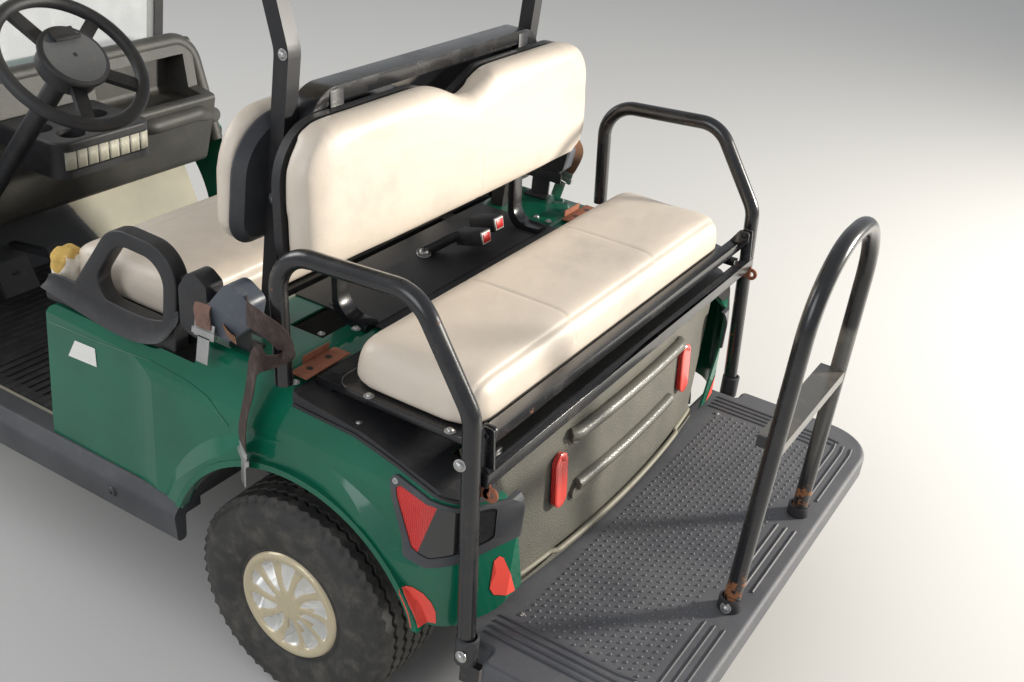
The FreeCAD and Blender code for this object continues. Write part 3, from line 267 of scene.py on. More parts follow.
# %% Toe board: bleached in front of the passenger; in front of the driver a black mat with the console's painted shadow, whose ragged edge bounds it
def toe_moulding():
    f = Finish("knee_plastic", (0.38, 0.355, 0.275), 0.55)
    cloud = f.noise(7, 4, seed=1.0)
    worn = f.noise(30, 6, 0.7, seed=2.0) * 0.02
    # dark in front of the driver: a black mat plus a painted shadow of the console; the slanted edge is that
    # shadow's edge, made ragged by noise
    mat_and_console_shadow = (f.axis("Y") - f.axis("Z") * 0.55 + worn).step(-0.322, -0.312) * f.axis("X").step(0.60, 0.61)
    bleached = f.mix(cloud.step(0.3, 0.7), (0.34, 0.32, 0.25), (0.42, 0.395, 0.30))
    f.feed("Base Color", f.mix(mat_and_console_shadow, bleached, (0.026, 0.027, 0.031)))
    f.feed("Roughness", 0.58 - mat_and_console_shadow * 0.08)
    f.feed("Normal", f.bump(f.pebbles(500).larger(0.12), 0.0005))
    return f.done()


# %% Black enamel on steel, chipped to rust
def enamel(name="tube_black", rust=0.15, below=None, gloss=0.35):
    """Black enamel; where a height is given, the rust stays below it."""
    f = Finish(name, (0.012, 0.012, 0.014), 0.22, coat_weight=0.5, coat_roughness=0.2)
    chip = f.noise(38, 8, 0.72, seed=6.0)
    if below is not None:
        chip = chip - f.axis("Z").step(below - 0.05, below + 0.04) * 0.2
    spot = chip.step(0.66 - 0.1 * rust, 0.70 - 0.1 * rust)
    halo = chip.step(0.60 - 0.1 * rust, 0.68 - 0.1 * rust)
    grit = f.noise(700, 3, 0.6)
    rusty = f.mix(grit, (0.19, 0.062, 0.022), (0.36, 0.15, 0.06))
    haze = f.noise(12, 5, 0.6, seed=8.0).step(0.45, 0.8)
    black = f.mix(haze * 0.5, (0.011, 0.011, 0.013), (0.05, 0.047, 0.043))
    if below is not None:
        brace = (1 - f.axis("Y").size().step(0.160, 0.164)) * (1 - f.axis("Z").step(0.78, 0.80))
        black = f.mix(brace, black, f.mix(haze, (0.10, 0.097, 0.088), (0.19, 0.16, 0.13)))
    f.feed("Base Color", f.mix(spot, f.mix(halo * 0.35, black, (0.09, 0.04, 0.02)), rusty))
    f.feed("Roughness", 0.24 + (0.35 - gloss) * 0.8 + haze * 0.2 + spot * 0.5)
    f.feed("Coat Weight", gloss - gloss * spot)
    f.feed("Normal", f.bump(spot * 0.6 + grit * 0.15 * spot, 0.0005))
    return f.done()


# %% Cream vinyl with a fine grain and years of dirt
def cream_vinyl():
    f = Finish("cream_vinyl", (0.66, 0.575, 0.485), 0.42, coat_weight=0.15, coat_roughness=0.3)
    broad = f.noise(4.5, 5, 0.6)
    fine = f.noise(55, 6, 0.7, seed=1.5)
    soil = broad.step(0.48, 0.72) * 0.5 + fine.step(0.55, 0.8) * 0.25
    scuff = f.noise(30, 3, 0.6, on=f.stretched((1, 5, 1)), seed=3.5).step(0.64, 0.74)
    color = f.mix(soil, (0.70, 0.61, 0.51), (0.42, 0.375, 0.33))
    color = f.mix(scuff * 0.3, color, (0.33, 0.30, 0.27))
    f.feed("Base Color", color)
    f.feed("Roughness", 0.40 + soil * 0.25)
    f.feed("Coat Weight", 0.2 - soil * 0.15)
    grain = f.pebbles(620)
    slack = f.noise(9, 3, 0.5, on=f.stretched((1, 0.5, 1)), seed=4.0)
    f.feed("Normal", f.bump(grain, 0.00028, f.bump(slack, 0.006)))
    return f.done()


# %% Rubber, wheel paint, iron
def dusty_rubber():
    f = Finish("tyre_rubber", (0.03, 0.029, 0.028), 0.75)
    dust = f.noise(26, 7, 0.7).step(0.42, 0.75)
    ring = f.noise(9, 3, seed=2.0)
    f.feed("Base Color", f.mix(dust * 0.55 + ring * 0.1, (0.022, 0.022, 0.022), (0.16, 0.145, 0.12)))
    f.feed("Roughness", 0.62 + dust * 0.3)
    f.feed("Normal", f.bump(f.noise(420, 4, 0.6), 0.0006))
    return f.done()


def champagne(name, color):
    f = Finish(name, color, 0.36, metallic=0.35, coat_weight=0.4)
    dirt = f.noise(46, 7, 0.7, seed=1.0).step(0.52, 0.8)
    f.feed("Base Color", f.mix(dirt * 0.7, color, (0.22, 0.18, 0.12)))
    f.feed("Roughness", 0.34 + dirt * 0.4)
    f.feed("Metallic", 0.35 - dirt * 0.3)
    f.feed("Normal", f.bump(f.noise(500, 2), 0.0001))
    return f.done()


def oily_iron():
    black = (0.05, 0.047, 0.043)
    f = Finish("axle_iron", black, 0.6, metallic=0.4)
    crust = f.noise(60, 8, 0.7)
    f.feed("Base Color", f.mix(crust.step(0.45, 0.7), black, (0.14, 0.10, 0.07)))
    f.feed("Roughness", 0.5 + crust * 0.35)
    f.feed("Metallic", 0.5 - crust.step(0.45, 0.7) * 0.5)
    f.feed("Normal", f.bump(crust, 0.001))
    return f.done()


# %% Clear screen, lamps, roof
def clear_screen():
    f = Finish("clear_screen", (0.93, 0.96, 0.97), 0.06, ior=1.45)
    smear = f.noise(14, 6, 0.65).step(0.45, 0.8)
    f.feed("Alpha", 0.16 + smear * 0.16)
    f.feed("Roughness", 0.05 + smear * 0.3)
    return f.done()


def lamp_red():
    """Red only in the front triangle of each side lamp: a line in X and Z bounds it. The rest is dark."""
    f = Finish("lamp_red", (0.62, 0.008, 0.006), 0.14, coat_weight=0.8)
    prisms = (f.axis("X") * 1500).sine()
    dirt = f.noise(80, 6, 0.7).step(0.5, 0.8)
    ahead = (f.axis("X") * 0.966 + f.axis("Z") * 0.259 + 0.7627).step(-0.001, 0.001)
    lit = ahead.larger(1 - f.axis("Y").size().step(0.39, 0.41))
    red = f.mix(dirt * 0.3, (0.66, 0.012, 0.009), (0.30, 0.02, 0.015))
    f.feed("Base Color", f.mix(lit, (0.012, 0.012, 0.014), red))
    f.feed("Normal", f.bump(prisms * lit, 0.0006))
    f.feed("Roughness", 0.12 + dirt * 0.3)
    return f.done()


def lamp_clear():
    f = Finish("lamp_clear", (0.72, 0.75, 0.77), 0.08, coat_weight=1.0)
    flutes = (f.axis("Y") * 900).sine()
    # the light and dark stripes in the base colour are painted shading of the flutes; the bump gives their
    # relief
    f.feed("Base Color", f.mix(flutes.step(-1, 1), (0.55, 0.58, 0.6), (0.86, 0.88, 0.9)))
    f.feed("Normal", f.bump(flutes, 0.001))
    return f.done()


def roof_moulding():
    f = Finish("roof_moulding", (0.62, 0.56, 0.45), 0.5)
    stain = f.noise(6, 6, 0.65).step(0.5, 0.8)
    f.feed("Base Color", f.mix(stain * 0.4, (0.66, 0.60, 0.49), (0.42, 0.38, 0.31)))
    f.feed("Roughness", 0.45 + stain * 0.25)
    f.feed("Normal", f.bump(f.noise(900, 3), 0.0002))
    return f.done()


# %% Make the finishes
body_green = green_paint()
dark_plastic = moulding("dark_plastic", (0.042, 0.044, 0.05), (0.07, 0.072, 0.078), 0.5, 900, 0.0003)
black_plastic = moulding("black_plastic", (0.014, 0.014, 0.016), (0.026, 0.026, 0.028), 0.42, 1100, 0.0002,
                         0.3)
panel_plastic = moulding("panel_plastic", (0.105, 0.102, 0.084), (0.145, 0.138, 0.11), 0.5, 420, 0.0009)
# the panel's plastic, a little lighter and glossier, for its ribs: the lighter colour is a painted highlight of
# the sun on them
rib_plastic = moulding("rib_plastic", (0.115, 0.112, 0.096), (0.15, 0.145, 0.12), 0.27, 420, 0.0004, 0.3)
step_plastic = moulding("step_plastic", (0.078, 0.080, 0.090), (0.115, 0.116, 0.125), 0.5, 900, 0.0003)
dash_plastic = moulding("dash_plastic", (0.034, 0.034, 0.031), (0.062, 0.059, 0.051), 0.38, 600, 0.0004, 0.35)
toe_plastic = toe_moulding()
tube_black = enamel()
tube_rusty = enamel("tube_rusty", 1.5, 0.45)
strut_black = enamel("strut_black", 0.1, gloss=0.05)
cream = cream_vinyl()
rubber = dusty_rubber()
wheel_paint = champagne("wheel_champagne", (0.60, 0.51, 0.34))
scoop_paint = champagne("wheel_silver", (0.72, 0.71, 0.68))
iron = oily_iron()
screen = clear_screen()
red_lens = lamp_red()
clear_lens = lamp_clear()
roof_paint = roof_moulding()
print("finishes:", len(bpy.data.materials))

# %% [markdown]
# ## Dress the CAD pieces
# A CAD piece whose shape is right stays as it is and only changes its material. The table is read once.

# %% Which finish goes on which piece
SIDES = ((1, "left"), (-1, "right"))
CORNERS = [(end + "_" + side, out) for end in ("front", "rear") for out, side in SIDES]
DRESS = (
    (enamel("frame_steel", 0.9), ["chassis_frame"]),
    (iron, ["rear_axle", "rear_springs", "front_suspension", "steering_rack", "knuckle_left",
            "knuckle_right"]),
    (body_green, ["rear_body", "front_cowl"]),
    (dark_plastic, ["running_boards", "tail_lamps", "front_bumper", "front_backrest_shell"]),
    (step_plastic, ["foot_platform"]),
    (dash_plastic, ["dashboard"]),
    (toe_plastic, ["floor_pan"]),
    (black_plastic, ["floor_mat", "pedals", "cup_console", "steering_column", "steering_wheel",
                     "rear_backrest_board", "wheel_housings", "rear_tray", "belt_gear", "front_seat_base",
                     "rear_seat_base", "hip_restraints", "battery_pack", "deck_cover"]),
    (panel_plastic, ["rear_panel"]),
    (strut_black, ["canopy_struts"]),
    (tube_black, ["backrest_frame", "rear_seat_frame", "side_hoops"]),
    (tube_rusty, ["grab_bar"]),
    (rubber, ["tyre_" + corner for corner, _ in CORNERS]),
    (wheel_paint, ["wheel_" + corner for corner, _ in CORNERS]),
    (cream, ["front_backrest_cushion", "rear_backrest_cushion", "front_seat_cushion", "rear_seat_cushion"]),
    (screen, ["windscreen"]),
    (red_lens, ["rear_lenses"]),
    (clear_lens, ["headlamps"]),
    (roof_paint, ["canopy_roof"]),
)
for material, names in DRESS:
    for name in names:
        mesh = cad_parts[name].data
        mesh.materials.clear()
        mesh.materials.append(material)


# %% [markdown]
# ## Small tools for meshes
# Pieces that the CAD model leaves out are drawn here: a tube along a bent path, a turned shape, a block,
# a strap. Each piece keeps its place in its mesh, rides on the body that carries it, and can stand for
# the CAD piece that it refines.

# %% A drawn mesh becomes a piece
def piece(mesh, finish, body="root", stands_for=()):
    obj = bpy.data.objects.new(mesh.name, mesh)
    bpy.context.collection.objects.link(obj)
    if finish is not None:
        mesh.materials.append(finish)
    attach(obj, body)
    if stands_for:
        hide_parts(*stands_for)
    return obj


def drawn(name, draw, sharp=35):
    """Mesh from what a function draws in a bmesh, smooth up to an angle."""
    form = bmesh.new()
    draw(form)
    bmesh.ops.remove_doubles(form, verts=form.verts, dist=1e-6)
    bmesh.ops.recalc_face_normals(form, faces=form.faces)
    mesh = bpy.data.meshes.new(name)
    form.to_mesh(mesh)
    form.free()
    mesh.shade_smooth()
    mesh.set_sharp_from_angle(angle=math.radians(sharp))
    return mesh


# %% Lines, rings and rows
def smooth(points, steps):
    """Smooth line through some points, with several steps between each two."""
    points = [Vector(p) for p in points]
    line = []
    for i in range(len(points) - 1):
        p0, p1 = points[max(i - 1, 0)], points[i]
        p2, p3 = points[i + 1], points[min(i + 2, len(points) - 1)]
        for k in range(steps):
            t = k / steps
            line.append(0.5 * (2 * p1 + (p2 - p0) * t + (2 * p0 - 5 * p1 + 4 * p2 - p3) * t * t
                               + (3 * p1 - p0 - 3 * p2 + p3) * t * t * t))
    return line + [points[-1]]


def join_rings(form, rings):
    """Faces between closed rings; a ring can be a single point."""
    for a, b in zip(rings, rings[1:]):
        for k in range(max(len(a), len(b))):
            corners = [a[k % len(a)], a[(k + 1) % len(a)], b[(k + 1) % len(b)], b[k % len(b)]]
            corners = list(dict.fromkeys(corners))
            if len(corners) > 2:
                form.faces.new(corners)


def join_rows(form, rows):
    """Faces between open rows."""
    for a, b in zip(rows, rows[1:]):
        for k in range(len(a) - 1):
            form.faces.new((a[k], a[k + 1], b[k + 1], b[k]))


def along(path):
    """Each point of a path with the direction in which the path goes there."""
    path = [Vector(p) for p in path]
    last = len(path) - 1
    return [(p, (path[min(i + 1, last)] - path[max(i - 1, 0)]).normalized()) for i, p in enumerate(path)]


def turned_from(form, start, turn, place):
    """Turns and moves every point drawn after the first ones."""
    for v in list(form.verts)[start:]:
        v.co = turn @ v.co + Vector(place)


# %% Simple solids
def add_tube(form, path, radius, sides=12, flat=1.0, up=None):
    """Round or flattened tube along a path, closed at both ends."""
    turns = [math.tau * k / sides for k in range(sides)]
    rings, side = [], None
    for point, ahead in along(path):
        side = side or Vector(up or ahead.orthogonal())
        side = (side - ahead * side.dot(ahead)).normalized()
        other = ahead.cross(side) * flat
        rings.append([form.verts.new(point + (side * math.cos(t) + other * math.sin(t)) * radius)
                      for t in turns])
    join_rings(form, rings)
    form.faces.new(rings[0])
    form.faces.new(rings[-1][::-1])


def add_turned(form, rows, origin, axis, steps=24):
    """Turned shape from rows of (distance along the axis, radius)."""
    axis = Vector(axis).normalized()
    side = axis.orthogonal().normalized()
    other = axis.cross(side)
    rings = []
    for height, radius in rows:
        spot = Vector(origin) + axis * height
        turns = [math.tau * k / steps for k in range(steps if radius > 0 else 1)]
        rings.append([form.verts.new(spot + (side * math.cos(t) + other * math.sin(t)) * radius)
                      for t in turns])
    join_rings(form, rings)


def add_block(form, low, high, bevel):
    """Block between two corners, with bevelled edges."""
    low, high = Vector(low), Vector(high)
    made = bmesh.ops.create_cube(form, size=1)["verts"]
    bmesh.ops.scale(form, vec=high - low, verts=made)
    edges = list({e for v in made for e in v.link_edges})
    made = bmesh.ops.bevel(form, geom=edges, offset=bevel, segments=2, profile=0.5, affect="EDGES")["verts"]
    bmesh.ops.translate(form, vec=(low + high) / 2, verts=made)


def add_strap(form, path, across, width, thick):
    """Flat strap along a path; across gives the direction of its width at each point."""
    rings = []
    for (point, ahead), wide in zip(along(path), across):
        wide = Vector(wide)
        wide = (wide - ahead * wide.dot(ahead)).normalized() * (width / 2)
        deep = ahead.cross(wide).normalized() * (thick / 2)
        rings.append([form.verts.new(point + u * wide + v * deep)
                      for u, v in ((-1, -1), (1, -1), (1, 1), (-1, 1))])
    join_rings(form, rings)
    form.faces.new(rings[0])
    form.faces.new(rings[-1][::-1])


# %% [markdown]
# ## Cushions by cloth simulation
# Each cushion starts as its CAD solid, remeshed in small squares and a little smaller than in the end.
# Pressure then blows it up like real padding while the side on its board stays flat. The swelling is
# evened out between neighbouring points, so that it has no wrinkles, and capped. One subdivision smooths
# it, and the seams are pressed in afterwards.

# %% Swell a mesh
VOXEL = 0.009
PRESSURE = 4.0
FRAMES = 20
EVENING = 90
NOSE_DEPTH = 0.16


def applied(obj):
    """Puts what an object's modifiers make into its mesh."""
    graph = bpy.context.evaluated_depsgraph_get()
    mesh = bpy.data.meshes.new_from_object(obj.evaluated_get(graph))
    obj.modifiers.clear()
    obj.data = mesh


def places(mesh):
    return np.array([v.co[:] for v in mesh.vertices])


def inflate(obj, pins, cap):
    """Cloth under pressure; the swelling is evened out, and no point moves beyond the cap."""
    home = places(obj.data)
    obj.vertex_groups.new(name="pins").add(pins, 1.0, "REPLACE")
    cloth = obj.modifiers.new("cloth", "CLOTH")
    cloth.settings.use_pressure = True
    cloth.settings.uniform_pressure_force = PRESSURE
    cloth.settings.effector_weights.gravity = 0
    cloth.settings.vertex_group_mass = "pins"
    cloth.collision_settings.use_collision = False
    cloth.point_cache.frame_start, cloth.point_cache.frame_end = 1, FRAMES
    for number in range(1, FRAMES + 1):
        bpy.context.scene.frame_set(number)
    applied(obj)
    move = places(obj.data) - home
    first, second = np.array([e.vertices[:] for e in obj.data.edges]).T
    joined = np.bincount(np.concatenate((first, second)), minlength=len(home))[:, None]
    for _ in range(EVENING):
        around = np.zeros_like(move)
        np.add.at(around, first, move[second])
        np.add.at(around, second, move[first])
        move = (move + around / joined) / 2
        move[pins] = 0
    length = np.linalg.norm(move, axis=1, keepdims=True)
    move *= np.minimum(1, cap / np.maximum(length, 1e-9))
    obj.data.vertices.foreach_set("co", (home + move).ravel())
    obj.vertex_groups.clear()


def eased(obj, rounds):
    """Smooths a mesh, which makes its edges rounder."""
    form = bmesh.new()
    form.from_mesh(obj.data)
    for _ in range(rounds):
        bmesh.ops.smooth_vert(form, verts=form.verts, factor=0.5, use_axis_x=True, use_axis_y=True,
                              use_axis_z=True)
    form.to_mesh(obj.data)
    form.free()


# %% A cushion from a CAD solid
def cushion(name, source, body, flat, cap, rounds, squeeze, nose=0.0):
    """Padded piece from a CAD solid.

    flat is the direction of the side that rests on its board, cap the largest swelling, rounds the
    smoothing before it, and squeeze how much smaller the solid starts, in its plane and in its depth.
    nose is how far the front edge is drawn forward."""
    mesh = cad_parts[source].data.copy()
    form = bmesh.new()
    form.from_mesh(mesh)
    bmesh.ops.remove_doubles(form, verts=form.verts, dist=1e-5)
    low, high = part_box(source)
    middle, flat = (low + high) / 2, Vector(flat).normalized()
    board = max((v.co - middle).dot(flat) for v in form.verts)
    for v in form.verts:
        offset = v.co - middle
        depth = offset.dot(flat)
        plane = offset - flat * depth
        v.co = middle + plane * squeeze[0] + flat * (board + (depth - board) * squeeze[1])
    form.to_mesh(mesh)
    form.free()
    mesh.name = name
    obj = bpy.data.objects.new(name, mesh)
    bpy.context.collection.objects.link(obj)
    remesh = obj.modifiers.new("remesh", "REMESH")
    remesh.mode, remesh.voxel_size = "VOXEL", VOXEL
    applied(obj)
    eased(obj, rounds)
    pins = [v.index for v in obj.data.vertices if (v.co - middle).dot(flat) > board - VOXEL * 0.6]
    inflate(obj, pins, cap)
    eased(obj, 3)
    for v in obj.data.vertices:
        ahead = max(0, (v.co.x - high.x + NOSE_DEPTH) / NOSE_DEPTH)
        v.co += Vector((nose, 0, -nose * 0.35)) * ahead * ahead
    obj.modifiers.new("finer", "SUBSURF").levels = 1
    applied(obj)
    obj.data.materials.clear()
    obj.data.materials.append(cream)
    obj.data.shade_smooth()
    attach(obj, body)
    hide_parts(source)
    print(name, len(obj.data.vertices), "points,", [round(d * 1000) for d in obj.dimensions], "mm")
    return obj


def stitch(obj, lines, depth=0.0022, width=0.0035):
    """Presses seams into a cushion; each line gives the distance of a point from it, in metres."""
    normals = [v.normal.copy() for v in obj.data.vertices]
    for vertex, normal in zip(obj.data.vertices, normals):
        near = min(abs(line(vertex.co)) for line in lines)
        if near < 4 * width:
            vertex.co -= normal * depth * math.exp(-(near / width) ** 2)


# %% The four cushions
LEAN = math.radians(4)
ACROSS, DOWN = math.cos(LEAN), -math.sin(LEAN)
rear_back = cushion("rear_backrest_pad", "rear_backrest_cushion", "root", flat=(ACROSS, 0, DOWN),
                    cap=0.012, rounds=12, squeeze=(0.988, 0.93))
cushion("front_backrest_pad", "front_backrest_cushion", "root", flat=(-ACROSS, 0, DOWN),
        cap=0.012, rounds=10, squeeze=(0.988, 0.93))
rear_seat = cushion("rear_seat_pad", "rear_seat_cushion", "rear_seat", flat=(0, 0, -1),
                    cap=0.010, rounds=8, squeeze=(0.988, 0.93))
front_seat = cushion("front_seat_pad", "front_seat_cushion", "front_seat", flat=(0, 0, -1),
                     cap=0.010, rounds=8, squeeze=(0.985, 0.93), nose=0.046)

# %% Seams: each is the distance of a point from a line, or AWAY where the line doesn't run
AWAY = 1.0


def seam_x(x, low, high):
    return lambda p: p.x - x if p.z > low and abs(p.y) < high else AWAY


def seam_y(y, low, front):
    return lambda p: p.y - y if p.z > low and p.x < front else AWAY


stitch(rear_seat, [seam_x(-0.948, 0.755, 0.50), seam_y(0.175, 0.755, -0.70), seam_y(-0.175, 0.755, -0.70)])
stitch(front_seat, [seam_x(-0.075, 0.70, 0.505), seam_x(-0.335, 0.73, 0.505)])
stitch(rear_back, [lambda p: (p.y + 0.03) if p.z < 1.02 else AWAY], 0.0012, 0.003)

# %% [markdown]
# ## Tyres and wheel covers
# A tyre is one ring of rows from bead to bead. Its tread rows swing from side to side, which draws the
# five zigzag grooves and the sawtooth shoulder. A cover is a round field of heights with ten curved scoops.

# %% Tyres
TREAD_R = 0.2285
SIDE_ROWS = [(0.0800, 0.1046, 0), (0.0868, 0.1100, 0), (0.0890, 0.1180, 0), (0.0878, 0.1220, 0),
             (0.0925, 0.1285, 0), (0.0955, 0.1400, 0), (0.0978, 0.1540, 0), (0.0990, 0.1700, 0),
             (0.0984, 0.1860, 0), (0.0970, 0.1885, 0), (0.0972, 0.1905, 0), (0.0955, 0.1990, 0),
             (0.0915, 0.2075, 0), (0.0885, 0.2120, 0), (0.0865, 0.2140, 0.35), (0.0835, 0.2165, 0.7),
             (0.0820, 0.2235, 0.9), (0.0785, 0.2268, 1)]
GROOVES = (0.056, 0.028, 0.0, -0.028, -0.056)
GROOVE_DEEP = 0.0075
ZIGS, ZIG_OUT = 56, 0.0036


def tyre_rows():
    """Rows of (distance from the middle, radius, how much it zigzags) across a tyre."""
    tread = []
    for y in GROOVES:
        for shift, drop in ((0.0046, 0), (0.0030, GROOVE_DEEP), (-0.0030, GROOVE_DEEP), (-0.0046, 0)):
            tread.append((y + shift, TREAD_R - drop - 0.35 * y * y, 1))
    return SIDE_ROWS + tread + [(-y, r, swing) for y, r, swing in reversed(SIDE_ROWS)]


def add_tyre(form, centre, out):
    steps = 4 * ZIGS
    rings = []
    for y, r, swing in tyre_rows():
        ring = []
        for k in range(steps):
            zig = (0, 1, 0, -1)[k % 4] * ZIG_OUT * swing
            turn = math.tau * k / steps
            ring.append(form.verts.new((centre.x + r * math.sin(turn), centre.y + out * (y + zig),
                                        centre.z + r * math.cos(turn))))
        rings.append(ring)
    join_rings(form, rings + rings[:1])


# %% Covers
SCOOPS, SCOOP_DEEP = 10, 0.023
HUB_R, BOWL_R = 0.030, 0.098
SWEEP = 2.6
COVER_OUT = 0.082


def sweep(r):
    """How far the scoops have swept round at a radius."""
    return SWEEP * max(r - HUB_R, 0)


def scoop(r, turn):
    """How deep a point lies in one of the scoops: 0 on a spoke, 1 at the foot of its steep wall."""
    sector = ((turn + sweep(r)) / (math.tau / SCOOPS)) % 1
    fall = sector / 0.10 if sector < 0.10 else max(0, 1 - (sector - 0.10) / 0.70)
    rise = min(max((r - 0.027) / 0.05, 0), 1)
    edge = min(max((BOWL_R - r) / 0.012, 0), 1)
    return fall * fall * (3 - 2 * fall) * rise * edge * edge * (3 - 2 * edge)


def cover_height(r, turn):
    """How far the cover stands out at a radius and an angle: hub, scoops, rim."""
    if r > BOWL_R:
        return 0.010 + 0.003 * math.sin(math.pi * min((r - BOWL_R) / 0.016, 1)) - max(0, r - 0.112) * 1.6
    bowl = min(max(0, r - HUB_R) / 0.05, 1, max(0, BOWL_R - r) / 0.012)
    return 0.010 - 0.004 * bowl - SCOOP_DEEP * scoop(r, turn)


def add_cover(form, centre, out):
    """The cover's face and a short wall behind its edge; the scoops take the second finish."""
    radii = [0.0, 0.008, 0.016, 0.024, HUB_R] + [HUB_R + 0.003 * i for i in range(1, 20)]
    radii += [0.0895, 0.0915, 0.0935, 0.0955, 0.097, BOWL_R, 0.101, 0.105, 0.109, 0.112, 0.1145, 0.116]
    steps = 20 * SCOOPS
    rings = []
    for r in radii:
        turns = [math.tau * k / steps - sweep(r) for k in range(steps if r else 1)]
        rings.append([form.verts.new((centre.x + r * math.sin(t),
                                      centre.y + out * (COVER_OUT + cover_height(r, t)),
                                      centre.z + r * math.cos(t))) for t in turns])
    for a, b, low, high in zip(rings, rings[1:], radii, radii[1:]):
        for k in range(steps):
            corners = [a[k % len(a)], a[(k + 1) % len(a)], b[(k + 1) % len(b)], b[k % len(b)]]
            face = form.faces.new(list(dict.fromkeys(corners)))
            middle = (low + high) / 2
            deep = scoop(middle, math.tau * (k + 0.5) / steps - sweep(middle))
            face.material_index = int(high < BOWL_R and deep > 0.10)
    back = [form.verts.new((v.co.x, v.co.y - out * 0.003, v.co.z)) for v in rings[-1]]
    for k in range(steps):
        form.faces.new((rings[-1][k], rings[-1][k - 1], back[k - 1], back[k]))


def add_rim(form, centre, out):
    """Steel rim behind the cover: barrel, flanges and disc."""
    start = centre - Vector((0, out * 0.085, 0))
    rows = [(0, 0.098), (0, 0.104), (0.012, 0.1042), (0.016, 0.1035), (0.155, 0.1035), (0.17, 0.104),
            (0.17, 0.098), (0.108, 0.098), (0.108, 0.034), (0.12, 0.034), (0.12, 0), (0.098, 0), (0.098, 0.098),
            (0, 0.098)]
    add_turned(form, rows, start, (0, out, 0), 64)


for corner, out in CORNERS:
    low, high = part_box("tyre_" + corner)
    hub = (low + high) / 2
    mesh = drawn("tread_" + corner, lambda form: add_tyre(form, hub, out), 40)
    piece(mesh, rubber, corner + "_wheel", ["tyre_" + corner])
    mesh = drawn("cover_" + corner, lambda form: (add_cover(form, hub, out), add_rim(form, hub, out)), 50)
    cover = piece(mesh, wheel_paint, corner + "_wheel", ["wheel_" + corner])
    cover.data.materials.append(scoop_paint)
print("tyre rows:", len(tyre_rows()))

# %% [markdown]
# ## Repeats with Geometry Nodes
# Bolts and nubs are one small form copied to many spots. Each spot is a point that knows which way its
# copy faces and how large it is; the node tree makes the copies and gives them their finish.

# %% The tree that stamps a form on points
def stamp_tree():
    """Copies a form to points, turned to each point's aim, sized, a little uneven, with a finish."""
    tree = bpy.data.node_groups.new("stamp", "GeometryNodeTree")
    for name, kind in (("Points", "Geometry"), ("Form", "Object"), ("Finish", "Material"), ("Uneven", "Float"),
                       ("Seed", "Int")):
        tree.interface.new_socket(name, in_out="INPUT", socket_type="NodeSocket" + kind)
    tree.interface.new_socket("Copies", in_out="OUTPUT", socket_type="NodeSocketGeometry")
    add, link = tree.nodes.new, tree.links.new
    start, end = add("NodeGroupInput"), add("NodeGroupOutput")
    form, copies = add("GeometryNodeObjectInfo"), add("GeometryNodeInstanceOnPoints")
    real, paint = add("GeometryNodeRealizeInstances"), add("GeometryNodeSetMaterial")
    turned, change = add("FunctionNodeAlignRotationToVector"), add("FunctionNodeRandomValue")
    aim, size = add("GeometryNodeInputNamedAttribute"), add("GeometryNodeInputNamedAttribute")
    less, more, scale = (add("ShaderNodeMath") for _ in range(3))
    aim.data_type, aim.inputs["Name"].default_value = "FLOAT_VECTOR", "aim"
    size.data_type, size.inputs["Name"].default_value = "FLOAT", "size"
    turned.axis = "Z"
    less.operation, more.operation, scale.operation = "SUBTRACT", "ADD", "MULTIPLY"
    less.inputs[0].default_value = more.inputs[0].default_value = 1
    link(start.outputs["Uneven"], less.inputs[1])
    link(start.outputs["Uneven"], more.inputs[1])
    link(less.outputs[0], change.inputs[2])
    link(more.outputs[0], change.inputs[3])
    link(start.outputs["Seed"], change.inputs["Seed"])
    link(change.outputs[1], scale.inputs[0])
    link(size.outputs[0], scale.inputs[1])
    link(aim.outputs[0], turned.inputs["Vector"])
    link(start.outputs["Form"], form.inputs["Object"])
    link(start.outputs["Points"], copies.inputs["Points"])
    link(form.outputs["Geometry"], copies.inputs["Instance"])
    link(turned.outputs[0], copies.inputs["Rotation"])
    link(scale.outputs[0], copies.inputs["Scale"])
    link(copies.outputs[0], real.inputs[0])
    link(real.outputs[0], paint.inputs["Geometry"])
    link(start.outputs["Finish"], paint.inputs["Material"])
    link(paint.outputs[0], end.inputs[0])
    return tree


STAMP = stamp_tree()
UNEVEN, STAMP_SEED = 0.06, 3


def stamped(name, spots, form, finish, body="root"):
    """One mesh with a copy of the form at each spot: (place, direction, size)."""
    mesh = bpy.data.meshes.new(name)
    mesh.from_pydata([spot[0] for spot in spots], [], [])
    mesh.attributes.new("aim", "FLOAT_VECTOR", "POINT")
    mesh.attributes.new("size", "FLOAT", "POINT")
    mesh.attributes["aim"].data.foreach_set("vector", [c for spot in spots for c in spot[1]])
    mesh.attributes["size"].data.foreach_set("value", [spot[2] for spot in spots])
    obj = bpy.data.objects.new(name, mesh)
    bpy.context.collection.objects.link(obj)
    modifier = obj.modifiers.new("copies", "NODES")
    modifier.node_group = STAMP
    values = {"Form": form, "Finish": finish, "Uneven": UNEVEN, "Seed": STAMP_SEED}
    for item in STAMP.interface.items_tree:
        if item.in_out == "INPUT" and item.name in values:
            modifier[item.identifier] = values[item.name]
    applied(obj)
    obj.data.name = name
    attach(obj, body)
    print(name, len(spots), "copies,", len(obj.data.polygons), "faces")


def stamp_form(name, rows, steps=10):
    """Small turned form with its axis along Z and a radius of about 1."""
    mesh = drawn(name, lambda form: add_turned(form, rows, (0, 0, 0), (0, 0, 1), steps), 40)
    return bpy.data.objects.new(name, mesh)


